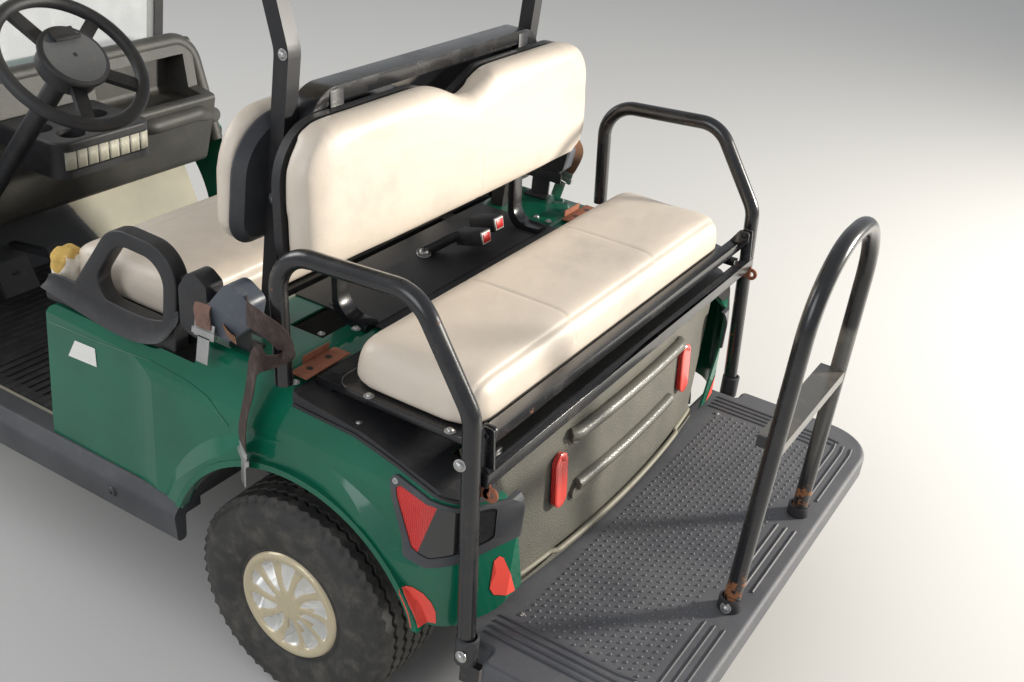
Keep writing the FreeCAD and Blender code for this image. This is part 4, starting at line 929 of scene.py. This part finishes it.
NUB = stamp_form("nub", [(-0.1, 1), (0.35, 0.88), (0.7, 0.6), (0.86, 0)], 8)
DOME_BOLT = stamp_form("dome_bolt", [(0, 0), (0, 1.45), (0.14, 1.45), (0.2, 1.38), (0.2, 1), (0.5, 0.94),
                                     (0.76, 0.7), (0.9, 0.35), (0.93, 0)], 14)
SCREW = stamp_form("screw", [(0, 0), (0, 1), (0.2, 0.96), (0.4, 0.75), (0.4, 0.3), (0.2, 0.26), (0.2, 0)], 14)

# %% [markdown]
# ## More finishes
# Small parts need plain finishes with a little wear: bright steel, rust, labels, webbing, foam.

# %% Worn surfaces
def worn(name, color, roughness, dirty, share=0.6, grain=500, depth=0.0002, patch=60, **fixed):
    f = Finish(name, color, roughness, **fixed)
    dirt = f.noise(patch, 7, 0.7, seed=2.0).step(0.48, 0.78) * share
    f.feed("Base Color", f.mix(dirt, color, dirty))
    f.feed("Roughness", roughness + dirt * 0.3)
    f.feed("Normal", f.bump(f.noise(grain, 4, 0.6), depth))
    return f.done()


def webbing(name, color, dirty):
    """Woven strap: fine ribs and a diagonal twill over faded, dirty threads."""
    f = Finish(name, color, 0.8)
    dirt = f.noise(30, 7, 0.7, seed=5.0).step(0.45, 0.75)
    ribs = (f.axis("Z") * 3600).sine() + (f.axis("X") * 2600 + f.axis("Y") * 2600).sine() * 0.7
    f.feed("Base Color", f.mix(dirt, color, dirty))
    f.feed("Normal", f.bump(ribs, 0.0005))
    return f.done()


def ribbed_mat():
    """Black rubber mat with long ribs across the cart."""
    f = Finish("ribbed_mat", (0.012, 0.012, 0.014), 0.6)
    ribs = (f.axis("X") * 260).sine().step(-0.2, 0.5)
    dust = f.noise(24, 7, 0.7).step(0.45, 0.8)
    f.feed("Base Color", f.mix(dust * 0.5, (0.012, 0.012, 0.014), (0.08, 0.073, 0.063)))
    f.feed("Normal", f.bump(ribs + f.noise(300, 3) * 0.2, 0.002))
    return f.done()


bright_steel = worn("bright_steel", (0.46, 0.46, 0.45), 0.34, (0.2, 0.15, 0.1), 0.5, metallic=0.85)
bare_rust = worn("bare_rust", (0.30, 0.11, 0.06), 0.85, (0.10, 0.04, 0.025), 0.8, 300, 0.0008, 90)
blank_label = worn("blank_label", (0.80, 0.79, 0.75), 0.45, (0.5, 0.46, 0.4), 0.3)
old_label = worn("old_label", (0.48, 0.46, 0.37), 0.5, (0.2, 0.19, 0.16), 0.6, patch=110)
label_edge = worn("label_edge", (0.03, 0.03, 0.033), 0.45, (0.1, 0.1, 0.1), 0.4)
foam = worn("seat_foam", (0.66, 0.43, 0.12), 0.95, (0.36, 0.22, 0.08), 0.8, 260, 0.002, 70)
torn_vinyl = worn("torn_vinyl", (0.74, 0.66, 0.55), 0.7, (0.45, 0.33, 0.22), 0.7, 300, 0.0006, 120)
red_button = worn("red_button", (0.60, 0.02, 0.015), 0.35, (0.25, 0.05, 0.04), 0.3)
reflector_red = worn("reflector_red", (0.78, 0.075, 0.055), 0.22, (0.5, 0.06, 0.05), 0.3, 900, 0.0003,
                     coat_weight=0.8)
tape_red = worn("tape_red", (0.86, 0.085, 0.06), 0.4, (0.6, 0.07, 0.05), 0.35, 700, 0.0003)
blue_plastic = worn("retractor_grey", (0.075, 0.085, 0.105), 0.38, (0.16, 0.15, 0.13), 0.5, 700)
foot_bead = worn("foot_bead", (0.24, 0.225, 0.17), 0.55, (0.2, 0.12, 0.07), 0.6)
brown_webbing = webbing("brown_webbing", (0.06, 0.036, 0.03), (0.15, 0.10, 0.08))
pink_webbing = webbing("pink_webbing", (0.30, 0.17, 0.13), (0.12, 0.07, 0.055))
orange_webbing = webbing("orange_webbing", (0.33, 0.16, 0.085), (0.16, 0.08, 0.05))
# the nubs are the platform's plastic made lighter: a painted highlight of the low sun on their tops
nub_plastic = worn("nub_plastic", (0.13, 0.13, 0.14), 0.45, (0.2, 0.19, 0.17), 0.5)
hub_grey = worn("hub_grey", (0.10, 0.105, 0.11), 0.3, (0.17, 0.16, 0.15), 0.4)
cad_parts["floor_mat"].data.materials[0] = ribbed_mat()
print("finishes:", len(bpy.data.materials))

# %% [markdown]
# ## CAD pieces with softened edges
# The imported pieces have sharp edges, which catch no light. A merged copy gets a small bevel on each
# sharp edge and stands for the piece. In the belts' gear the retractor housings are blue-grey, and the
# buckles are left out, because they are drawn again further down.

# %% Bevelled copies
def softened(node, width, finish, body="root", second=None, drop=None):
    """Bevelled copy of a CAD piece, without what drop picks.

    second is a test of a face's middle and the finish where it holds."""
    form = bmesh.new()
    form.from_mesh(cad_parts[node].data)
    if drop:
        bmesh.ops.delete(form, geom=[v for v in form.verts if drop(v.co)], context="VERTS")
    bmesh.ops.remove_doubles(form, verts=form.verts, dist=2e-5)
    bmesh.ops.dissolve_limit(form, angle_limit=math.radians(2), verts=form.verts, edges=form.edges)
    sharp = [e for e in form.edges if len(e.link_faces) == 2 and e.calc_face_angle(0) > math.radians(32)]
    bmesh.ops.bevel(form, geom=sharp, offset=width, segments=2, profile=0.6, affect="EDGES",
                    clamp_overlap=True)
    bmesh.ops.triangulate(form, faces=form.faces)
    for face in form.faces:
        face.material_index = 1 if second and second[0](face.calc_center_median()) else 0
    mesh = bpy.data.meshes.new(node + "_soft")
    form.to_mesh(mesh)
    form.free()
    mesh.shade_smooth()
    mesh.set_sharp_from_angle(angle=math.radians(40))
    mesh.materials.append(finish)
    if second:
        mesh.materials.append(second[1])
    return piece(mesh, None, body, [node])


softened("rear_seat_frame", 0.0022, tube_black)
softened("rear_seat_base", 0.0018, tube_black, "rear_seat")
softened("hip_restraints", 0.0085, black_plastic)
softened("backrest_frame", 0.0035, tube_black)
softened("belt_gear", 0.0025, black_plastic,
         second=(lambda p: p.x < -0.4425 and abs(p.y) > 0.5265 and p.z > 0.735, blue_plastic),
         drop=lambda p: p.x < -0.50 and abs(p.y) < 0.3)
softened("tail_lamps", 0.0018, dark_plastic)

# %% [markdown]
# ## Lay things on a surface
# Stickers, the crease in the body side and some bolts follow the real surface of a piece: a ray finds it.

# %% Rays on a CAD piece
@functools.cache
def skin(node):
    """Search tree of a CAD piece."""
    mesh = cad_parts[node].data
    return BVHTree.FromPolygons([v.co for v in mesh.vertices], [p.vertices[:] for p in mesh.polygons])


def touch(node, point, way):
    """Place and outward direction where a ray through a point first meets a piece, or None twice."""
    way = Vector(way).normalized()
    spot, normal, _, _ = skin(node).ray_cast(Vector(point) - way * 0.5, way)
    return (spot, normal if normal.dot(way) < 0 else -normal) if spot else (None, None)


LIFT = 0.0012


def decal(name, node, outline, way, finish):
    """Thin sheet in an outline, laid on a piece along a direction; points off its edge move inwards."""
    outline = [Vector(p) for p in outline]
    home = sum(outline, Vector()) / len(outline)

    def draw(form):
        form.faces.new([form.verts.new(p) for p in outline])
        for _ in range(3):
            bmesh.ops.triangulate(form, faces=form.faces)
            bmesh.ops.subdivide_edges(form, edges=form.edges, cuts=2, use_grid_fill=True)
        for v in form.verts:
            for step in range(40):
                spot, normal = touch(node, v.co.lerp(home, step / 40), way)
                if spot and -normal.dot(Vector(way)) > 0.3:
                    v.co = spot + normal * LIFT
                    break
    piece(drawn(name, draw, 60), finish)


def bead(name, node, points, way, radius, finish, sink=0.4):
    """Round bead that follows a piece's surface through some points, a share of it below the surface."""
    dense = []
    for a, b in zip(points, points[1:]):
        steps = max(2, int((Vector(b) - Vector(a)).length / 0.012))
        dense += [Vector(a).lerp(Vector(b), i / steps) for i in range(steps)]
    path = []
    for p in dense + [Vector(points[-1])]:
        spot, normal = touch(node, p, way)
        if spot:
            path.append(spot + normal * radius * (1 - 2 * sink))
    piece(drawn(name, lambda form: add_tube(form, path, radius, 6), 80), finish)


# %% [markdown]
# ## Bolts
# Each bolt sits where the photograph shows one, and the other side gets its twin. The list gives what a
# washer covers; HEAD is the share of it that the bolt takes.

# %% Where the bolts sit: place, direction, size
BOLTS = [((-1.0355, 0.5975, 0.345), (0, 1, 0.1), 0.0085), ((-0.9975, 0.5925, 0.716), (-0.15, 1, 0.1), 0.0085),
         ((-1.352, 0.2045, 0.352), (0.1, 1, 0.2), 0.0085), ((-1.060, 0.439, 0.3385), (0, 0, 1), 0.0065),
         ((-1.301, 0.466, 0.3385), (0, 0, 1), 0.0065), ((-0.458, 0.4165, 0.954), (0, 1, 0), 0.0095),
         ((-0.478, 0.4165, 1.216), (0, 1, 0), 0.0085), ((-0.470, 0.4165, 0.738), (0, 1, 0), 0.007),
         ((-0.762, 0.546, 0.6722), (0, 0.2, 1), 0.0065), ((-0.628, 0.552, 0.7035), (0, 0.1, 1), 0.006),
         ((-0.60, 0.353, 0.7185), (0, 0, 1), 0.007), ((-0.548, 0.389, 0.7035), (0, 0, 1), 0.006)]
HEAD = 0.85
spots = [((x, y * s, z), (u, v * s, w), size * HEAD)
         for (x, y, z), (u, v, w), size in BOLTS for s, _ in SIDES]
stamped("bolts", spots, DOME_BOLT, bright_steel)
for node, x, z, size, finish in (("tail_lamps", -0.869, 0.622, 0.006, bright_steel),
                                 ("running_boards", -0.189, 0.296, 0.011, label_edge)):
    spots = [(*touch(node, (x, s * 0.5, z), (0, -s, 0)), size) for s, _ in SIDES]
    stamped("screws_on_" + node, spots, SCREW, finish)
stamped("seat_bolts",
        [((x, y, 0.7165), (0, 0, 1), 0.0065) for x in (-0.764, -0.93) for y in (-0.5225, 0.5225)],
        DOME_BOLT, bright_steel, "rear_seat")

# %% [markdown]
# ## The foot platform
# The step has staggered rows of small round nubs and thin ridges along its edges. Sleeves surround the
# feet of the tubes that stand on it. The rows' pitch was measured on the photograph.

# %% Nubs and ridges
PITCH_X, PITCH_Y = 0.0154, 0.0183
TOP = 0.340
RELIEF = 0.0032
TUBE_Y = 0.184
spots = []
for column in range(17):
    x = -1.311 + column * PITCH_X
    for row in range(-24, 25):
        y = (row + 0.5 * (column % 2)) * PITCH_Y
        clear = abs(abs(y) - TUBE_Y) > 0.034 or x > -1.30
        if abs(y) < 0.452 and clear:
            spots.append(((x, y, TOP), (0, 0, 1), RELIEF))
# the nubs' lighter finish is a painted highlight
stamped("platform_nubs", spots, NUB, nub_plastic)


def draw_ridges(form):
    for x in (-1.333, -1.352, -1.371):
        for s, _ in SIDES:
            add_tube(form, [(x, s * 0.249, TOP), (x, s * 0.47, TOP), (x + 0.004, s * 0.5, TOP)], RELIEF, 6)
        add_tube(form, [(x, -0.118, TOP), (x, 0.118, TOP)], RELIEF, 6)
    for i, y in enumerate((0.463, 0.480, 0.497, 0.514)):
        end = -1.27 - 0.012 * i
        for s, _ in SIDES:
            path = [(-1.03, s * y, TOP), (end, s * y, TOP), (end - 0.03, s * (y - 0.006), TOP)]
            add_tube(form, path, RELIEF, 6)


piece(drawn("platform_ridges", draw_ridges, 60), step_plastic)

# %% Sleeves at the tubes' feet
def draw_sleeves(form):
    for s, _ in SIDES:
        add_turned(form, [(0, 0.0165), (0, 0.0215), (0.002, 0.0225), (0.030, 0.0215), (0.031, 0.0165)],
                   (-1.352, s * TUBE_Y, TOP - 0.006), (0.02, -0.04 * s, 1), 24)
        add_turned(form, [(0, 0.0165), (0, 0.0205), (0.05, 0.0205), (0.052, 0.0165)],
                   (-1.0328, s * 0.576, 0.322), (0, 0, 1), 24)


piece(drawn("tube_sleeves", draw_sleeves, 40), label_edge)

# %% [markdown]
# ## Small parts of the body
# Crease, blank sticker, red reflective patches, the bead along the tray, the rusty plate on the deck and
# the brackets beside the rear seat's hinge.

# %% Lines and patches on the green body
CREASE = [(-0.012, 0.61), (-0.15, 0.616), (-0.295, 0.629), (-0.391, 0.623), (-0.444, 0.612), (-0.474, 0.592),
          (-0.498, 0.574)]
for side, name in SIDES:
    points = [(x, 0.6 * side, z) for x, z in CREASE]
    bead("body_crease_" + name, "rear_body", points, (0, -side, 0), 0.0013, body_green, 0.3)

STICKER = [(-0.086, 0.7, 0.596), (-0.143, 0.7, 0.599), (-0.144, 0.7, 0.558), (-0.062, 0.7, 0.553)]
decal("blank_sticker", "rear_body", STICKER, (0, -1, 0), blank_label)

# %% Red patches: one on the rear corner, one round the edge of each rear arch
REAR_PATCH = [(0.468, 0.470), (0.477, 0.477), (0.486, 0.470), (0.484, 0.455), (0.480, 0.441), (0.485, 0.428),
              (0.489, 0.411), (0.480, 0.393), (0.455, 0.380), (0.423, 0.370), (0.446, 0.418)]
ARCH_PATCH = [(0.358, -0.934, -0.962), (0.383, -0.927, -0.960), (0.402, -0.9165, -0.952),
              (0.418, -0.9065, -0.938), (0.4275, -0.9055, -0.920)]
LIP_Y = 0.596


def draw_arch_patch(form, side):
    """Patch across the face of the arch's lip, down its step and onto the body behind it.

    Each row has a height and where the patch starts and ends; the step is found by halving."""
    def laid(x, z):
        spot, normal = touch("rear_body", (x, 0.7 * side, z), (0, -side, 0))
        return spot + normal * LIFT
    rows = []
    for z, start, end in ARCH_PATCH:
        on_lip, behind = start, end
        for _ in range(12):
            middle = (on_lip + behind) / 2
            if abs(laid(middle, z).y) > LIP_Y:
                on_lip = middle
            else:
                behind = middle
        spread = [start, on_lip] + [behind + (end - behind) * i / 5 for i in range(6)]
        rows.append([form.verts.new(laid(x, z)) for x in spread])
    join_rows(form, rows)


for side, name in SIDES:
    piece(drawn("arch_patch_" + name, lambda form: draw_arch_patch(form, side), 30), tape_red)
    outline = [(-1.2, y * side, z) for y, z in REAR_PATCH]
    decal("rear_patch_" + name, "rear_body", outline, (1, 0, 0), tape_red)

# %% Rusty plates with black discs of painted shade for their holes, hinge tabs, deck mat and tray bead
DECK = 0.7035
PLATE_TOP = DECK + 0.004


def draw_plate(form):
    for s, _ in SIDES:
        for (x, near, z), (x1, far, z1), bevel in (
                ((-0.638, 0.415, DECK), (-0.601, 0.535, PLATE_TOP), 0.001),
                ((-0.601, 0.430, DECK), (-0.598, 0.500, 0.722), 0.0008),
                ((-1.034, 0.551, 0.646), (-1.006, 0.556, 0.674), 0.001)):
            add_block(form, (x, min(s * near, s * far), z), (x1, max(s * near, s * far), z1), bevel)
        add_turned(form, [(0, 0.006), (0, 0.014), (0.004, 0.014), (0.004, 0.006), (0, 0.006)],
                   (-1.036, s * 0.552, 0.656), (0, s, 0), 16)


# The holes are not cut: a thin black disc on the plate stands for each, as painted shade.
def draw_hole_shades(form):
    for s, _ in SIDES:
        for x, y in ((-0.6195, 0.505), (-0.6175, 0.452)):
            rows = [(0, 0), (0, 0.0062), (0.0004, 0.0062), (0.0004, 0)]
            add_turned(form, rows, (x, s * y, PLATE_TOP + 0.0001), (0, 0, 1), 16)


piece(drawn("rusty_plates", draw_plate, 40), bare_rust)
MAT = (-0.655, -0.360, DECK + 0.0001), (-0.405, 0.300, DECK + 0.0025)
piece(drawn("deck_mat", lambda form: add_block(form, *MAT, 0.0008), 40), black_plastic)


piece(drawn("plate_holes", draw_hole_shades, 40), label_edge)

TRAY_EDGE = [(-0.636, 0.668), (-0.70, 0.666), (-0.77, 0.664), (-0.82, 0.656), (-0.864, 0.647), (-0.93, 0.631),
             (-0.99, 0.616)]
for side, name in SIDES:
    points = [(x, 0.6 * side, z) for x, z in TRAY_EDGE]
    bead("tray_bead_" + name, "rear_tray", points, (0, -side, 0), 0.0035, black_plastic)

# %% Rear panel: half-round ribs, light foot bead, black edges
FORWARD = (1, 0, 0)
# the ribs take the lighter copy of the panel's plastic: a painted highlight
for name, reach, z, radius, finish, slot in (("panel_rib_1", 0.236, 0.600, 0.014, rib_plastic, "panel_plastic"),
                                             ("panel_rib_2", 0.204, 0.477, 0.014, rib_plastic, "panel_plastic"),
                                             ("panel_foot_bead", 0.385, 0.361, 0.006, foot_bead, None)):
    bead(name, "rear_panel", [(-1.2, -reach, z), (-1.2, reach, z)], FORWARD, radius, finish)
for side, name in SIDES:
    points = [(-1.2, 0.524 * side, 0.606), (-1.2, 0.385 * side, 0.370)]
    bead("panel_edge_" + name, "rear_panel", points, FORWARD, 0.006, label_edge)

# %% Reflectors: a round form whose halves are drawn apart, which leans with the panel
REFLECTOR_Y, REFLECTOR_STRETCH = 0.272, 0.0355


def draw_reflectors(form):
    rows = [(0, 0), (0, 0.0215), (0.0045, 0.0215), (0.006, 0.0195), (0.0066, 0.016), (0.0062, 0)]
    for s, _ in SIDES:
        start = len(form.verts)
        add_turned(form, rows, (0, 0, 0), (-1, 0, 0), 32)
        for v in list(form.verts)[start:]:
            v.co.z += math.copysign(REFLECTOR_STRETCH, v.co.z) if abs(v.co.z) > 1e-6 else 0
        lean = Matrix.Rotation(math.radians(5), 3, "Y")
        turned_from(form, start, lean, (-1.0172, s * REFLECTOR_Y, 0.522))


piece(drawn("reflector_faces", draw_reflectors, 50), reflector_red)
stamped("reflector_screws",
        [((-1.0225, s * REFLECTOR_Y, 0.570), (-1, 0, 0.08), 0.004) for s, _ in SIDES], SCREW,
        reflector_red)

# %% [markdown]
# ## Seat details
# The near front corner of the bench is torn and shows its foam. The guards at the bench's ends flare out
# at their foot and meet the body side.

# %% Torn corner
def draw_lump(form, centre, size, rough, seed):
    """Uneven lump: a stretched ball whose points move in and out."""
    chance = random.Random(seed)
    made = bmesh.ops.create_icosphere(form, subdivisions=4, radius=1)["verts"]
    waves = [(Vector([chance.uniform(-1, 1) for _ in range(3)]).normalized() * chance.uniform(3, 11),
              chance.uniform(0, 6)) for _ in range(14)]
    for v in made:
        swell = sum(math.sin(v.co.dot(way) + turn) for way, turn in waves) / len(waves)
        v.co = Vector(a * b for a, b in zip(v.co * (1 + rough * swell), size)) + Vector(centre)


low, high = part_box("front_seat_cushion")
TORN = Vector((high.x + 0.022, high.y - 0.018, high.z - 0.058))
EDGE = TORN - Vector((0.009, 0.004, 0.016))
for name, place, size, seed, finish in (("torn_foam", TORN, (0.032, 0.032, 0.036), 4, foam),
                                        ("torn_vinyl", EDGE, (0.034, 0.035, 0.044), 9, torn_vinyl)):
    piece(drawn(name, lambda form: draw_lump(form, place, size, 0.4, seed), 60), finish, "front_seat")

# %% Flared foot of the guards
FOOT = [(0.000, 0.684), (-0.033, 0.679), (-0.111, 0.666), (-0.198, 0.656), (-0.270, 0.659), (-0.327, 0.681),
        (-0.365, 0.725)]


def draw_foot(form, side):
    """Apron from the guard's outer face out to its lower rim, a little hollow."""
    rows = []
    rim = smooth([(x, 0.576 * side, z) for x, z in FOOT], 6)
    for i, low in enumerate(rim):
        middle = math.sin(math.pi * i / (len(rim) - 1))
        high = Vector((low.x * 0.955 - 0.008, 0.5600 * side, low.z + 0.024 + 0.026 * middle))
        bend = [low + Vector((0, -0.006 * side, -0.001))]
        for k in range(9):
            p = low.lerp(high, k / 8)
            p.y -= side * 0.0055 * math.sin(math.pi * k / 8)
            bend.append(p)
        rows.append([form.verts.new(p) for p in bend])
    join_rows(form, rows)


def thicken(sheet, thickness, offset=-1):
    """Gives a sheet a thickness, on one side or, with an offset of 0, on both."""
    thicker = sheet.modifiers.new("thicker", "SOLIDIFY")
    thicker.thickness, thicker.offset = thickness, offset
    applied(sheet)


for side, name in SIDES:
    mesh = drawn("guard_foot_" + name, lambda form: draw_foot(form, side), 50)
    thicken(piece(mesh, black_plastic), 0.003)

# %% [markdown]
# ## Belts
# Each side has two retractors. A strap comes out of the rear one, and the left one twists past the hoop and
# hangs over the fender; a short strap with a steel tongue hangs from the front one. Two buckles lie between
# the seats, on the deck.

# %% Straps and tongues
WEB = 0.0016
STEEL = 0.0012


def strap(name, path, across, width, finish):
    """Webbing along a smooth line through some points, with the direction of its width at each."""
    fine, wide = smooth(path, 8), smooth(across, 8)
    obj = piece(drawn(name, lambda form: add_strap(form, fine, wide, width, WEB), 60), finish)


def tongue(name, centre, turn):
    """Steel tongue: a frame round its slot, a blade, and a plastic grip across it."""
    def draw(form):
        for left, low, right, high, thick in ((-0.024, 0.012, 0.024, 0.026, STEEL),
                                              (-0.024, -0.004, -0.014, 0.012, STEEL),
                                              (0.014, -0.004, 0.024, 0.012, STEEL),
                                              (-0.014, -0.052, 0.014, -0.004, STEEL),
                                              (-0.027, 0.0, 0.027, 0.012, 0.004)):
            add_block(form, (left, -thick, low), (right, thick, high), 0.0008)
        turned_from(form, 0, turn, centre)
    return piece(drawn(name, draw, 40), bright_steel)


# %% The straps' routes
HANG = [(-0.520, 0.552, 0.812), (-0.556, 0.590, 0.826), (-0.600, 0.6035, 0.828), (-0.638, 0.6030, 0.815),
        (-0.655, 0.6045, 0.796), (-0.636, 0.6080, 0.776), (-0.602, 0.6090, 0.766), (-0.585, 0.6090, 0.745),
        (-0.578, 0.6105, 0.700), (-0.567, 0.6120, 0.650), (-0.560, 0.6125, 0.600), (-0.561, 0.6125, 0.575)]
TWIST = [(0, 0.1, 1), (-0.2, 0.1, 1), (-0.35, 0.1, 1), (-0.25, 0, 1), (-0.5, 0.2, 0.8), (0.2, 0.8, 0.6),
         (0.5, -0.2, 0.8), (0.8, -0.5, 0.3), (0.84, -0.55, 0), (0.80, -0.60, 0), (0.84, -0.54, 0),
         (0.84, -0.54, 0)]
tip = tongue("tongue_hanging_left", (-0.563, 0.614, 0.548), Matrix.Rotation(math.radians(-33), 3, "Z"))
strap("hanging_strap_left", HANG, TWIST, 0.046, brown_webbing)
END = [(-0.476, 0.566, 0.762), (-0.492, 0.572, 0.757), (-0.512, 0.575, 0.752)]
strap("strap_end_left", END, [(-0.2, 0.4, 1)] * 3, 0.020, orange_webbing)

RIGHT_HANG = [(-0.500, -0.547, 0.850), (-0.524, -0.553, 0.852), (-0.536, -0.572, 0.815),
              (-0.520, -0.577, 0.775), (-0.508, -0.577, 0.755)]
RIGHT_TWIST = [(0, 1, 0), (0, 1, 0), (0.5, 0.8, 0), (0.9, 0.4, 0), (1, 0, 0)]
tip = tongue("tongue_hanging_right", (-0.505, -0.577, 0.735), Matrix.Rotation(math.radians(-14), 3, "Y"))
strap("hanging_strap_right", RIGHT_HANG, RIGHT_TWIST, 0.042, orange_webbing)

SHORT = [(-0.430, 0.566, 0.795), (-0.434, 0.5755, 0.784), (-0.439, 0.5785, 0.766), (-0.440, 0.5790, 0.752)]
for s, name in SIDES:
    turn = Matrix.Rotation(math.radians(8 * s), 3, "X")
    tip = tongue("tongue_short_" + name, (-0.441, s * 0.5790, 0.737), turn)
    strap("short_strap_" + name, [(x, s * y, z) for x, y, z in SHORT], [(1, 0, 0)] * 4, 0.036, pink_webbing)

# %% Buckles between the seats
STALK = [(-0.485, -0.021, 0.714), (-0.496, -0.055, 0.722), (-0.512, -0.085, 0.735), (-0.528, -0.108, 0.741)]
mesh = drawn("buckle_stalk", lambda form: add_tube(form, smooth(STALK, 6), 0.013, 14, 0.6, (0, 0, 1)), 50)
piece(mesh, black_plastic)
stamped("stalk_bolt", [((-0.485, -0.021, 0.712), (-0.2, 0.3, 1), 0.0105)], DOME_BOLT, bright_steel)

BUCKLES = ((-0.550, -0.111, 0.742), (-0.537, -0.182, 0.749))
BUCKLE_TILT = Matrix.Rotation(math.radians(14), 3, "Y")


def draw_buckles(form, low, high, bevel):
    """The same block in each buckle, in the buckle's own axes."""
    for place in BUCKLES:
        start = len(form.verts)
        add_block(form, low, high, bevel)
        turned_from(form, start, BUCKLE_TILT, place)


for name, low, high, bevel, finish, slot in (
        ("buckle_bodies", (-0.034, -0.020, -0.016), (0.034, 0.020, 0.016), 0.004, black_plastic,
         "black_plastic"),
        ("buckle_rims", (-0.0346, -0.0155, -0.0125), (-0.0338, 0.0155, 0.0125), 0.0003, blank_label, None),
        ("buckle_buttons", (-0.0362, -0.013, -0.010), (-0.034, 0.013, 0.010), 0.001, red_button, None)):
    piece(drawn(name, lambda form: draw_buckles(form, low, high, bevel), 40), finish)

# %% [markdown]
# ## Dashboard and steering wheel
# The console's rear edge carries a strip of small blank labels. The steering wheel has a padded hub.

# %% Blank label strip
CONSOLE_REAR, CONSOLE_LEFT, CONSOLE_RIGHT, CONSOLE_ROUND = 0.432, 0.170, -0.122, 0.040
STRIP_START, STRIP_END, PANELS = -0.105, 0.153, 8


def draw_strip(form, low, high, lift, gap):
    """Upright band round the console's rear edge, in panels with gaps."""
    wide = (STRIP_END - STRIP_START) / PANELS
    for i in range(PANELS):
        columns = []
        for k in range(5):
            y = STRIP_START + wide * (i + gap + (1 - 2 * gap) * k / 4)
            edge = max(y - CONSOLE_LEFT + CONSOLE_ROUND, CONSOLE_RIGHT + CONSOLE_ROUND - y, 0)
            x = CONSOLE_REAR + CONSOLE_ROUND - math.sqrt(max(CONSOLE_ROUND ** 2 - edge ** 2, 0)) - lift
            columns.append([form.verts.new((x, y, z)) for z in (low, high)])
        join_rows(form, columns)


for name, low, high, lift, gap, finish in (("label_strip", 0.686, 0.738, 0.0008, 0.0, label_edge),
                                           ("label_panels", 0.690, 0.734, 0.0013, 0.06, old_label)):
    mesh = drawn(name, lambda form: draw_strip(form, low, high, lift, gap), 60)
    thicken(piece(mesh, finish), 0.0004, offset=0)

# %% Steering wheel's padded hub, blank plate and clip
HUB, HUB_AXIS = Vector((0.225, 0.280, 1.022)), Vector((-0.6428, 0, 0.7660))
DISC = [(0, 0), (0, 0.97), (0.3, 1), (0.75, 0.985), (1, 0.95), (1.15, 0.5), (1.2, 0)]
for name, rise, radius, thick, finish in (("hub_pad", 0.014, 0.077, 0.010, black_plastic),
                                          ("hub_plate", 0.0245, 0.066, 0.0012, hub_grey)):
    rows = [(rise + thick * height, radius * share) for height, share in DISC]
    piece(drawn(name, lambda form: add_turned(form, rows, HUB, HUB_AXIS, 64), 50), finish, "steering_wheel")


def draw_clip(form):
    """Paper clip on the lower part of the hub: a plate and a raised bar."""
    across = Vector((0, 1, 0))
    up = HUB_AXIS.cross(across)
    add_block(form, (-0.030, -0.015, 0.0), (0.030, 0.015, 0.006), 0.002)
    add_block(form, (-0.032, 0.008, 0.004), (0.032, 0.018, 0.012), 0.002)
    turn = Matrix((across, up, HUB_AXIS)).transposed()
    turned_from(form, 0, turn, HUB + HUB_AXIS * 0.029 - up * 0.048)


piece(drawn("hub_clip", draw_clip, 40), black_plastic, "steering_wheel")

# %% Floor
REACH = 14
mesh = bpy.data.meshes.new("floor")
mesh.from_pydata([(-REACH, -REACH, 0), (REACH, -REACH, 0), (REACH, REACH, 0), (-REACH, REACH, 0)], [],
                 [(0, 1, 2, 3)])
mesh.materials.append(Finish("floor_pale", (0.62, 0.61, 0.59), 0.7).done())
floor = bpy.data.objects.new("floor", mesh)
bpy.context.collection.objects.link(floor)
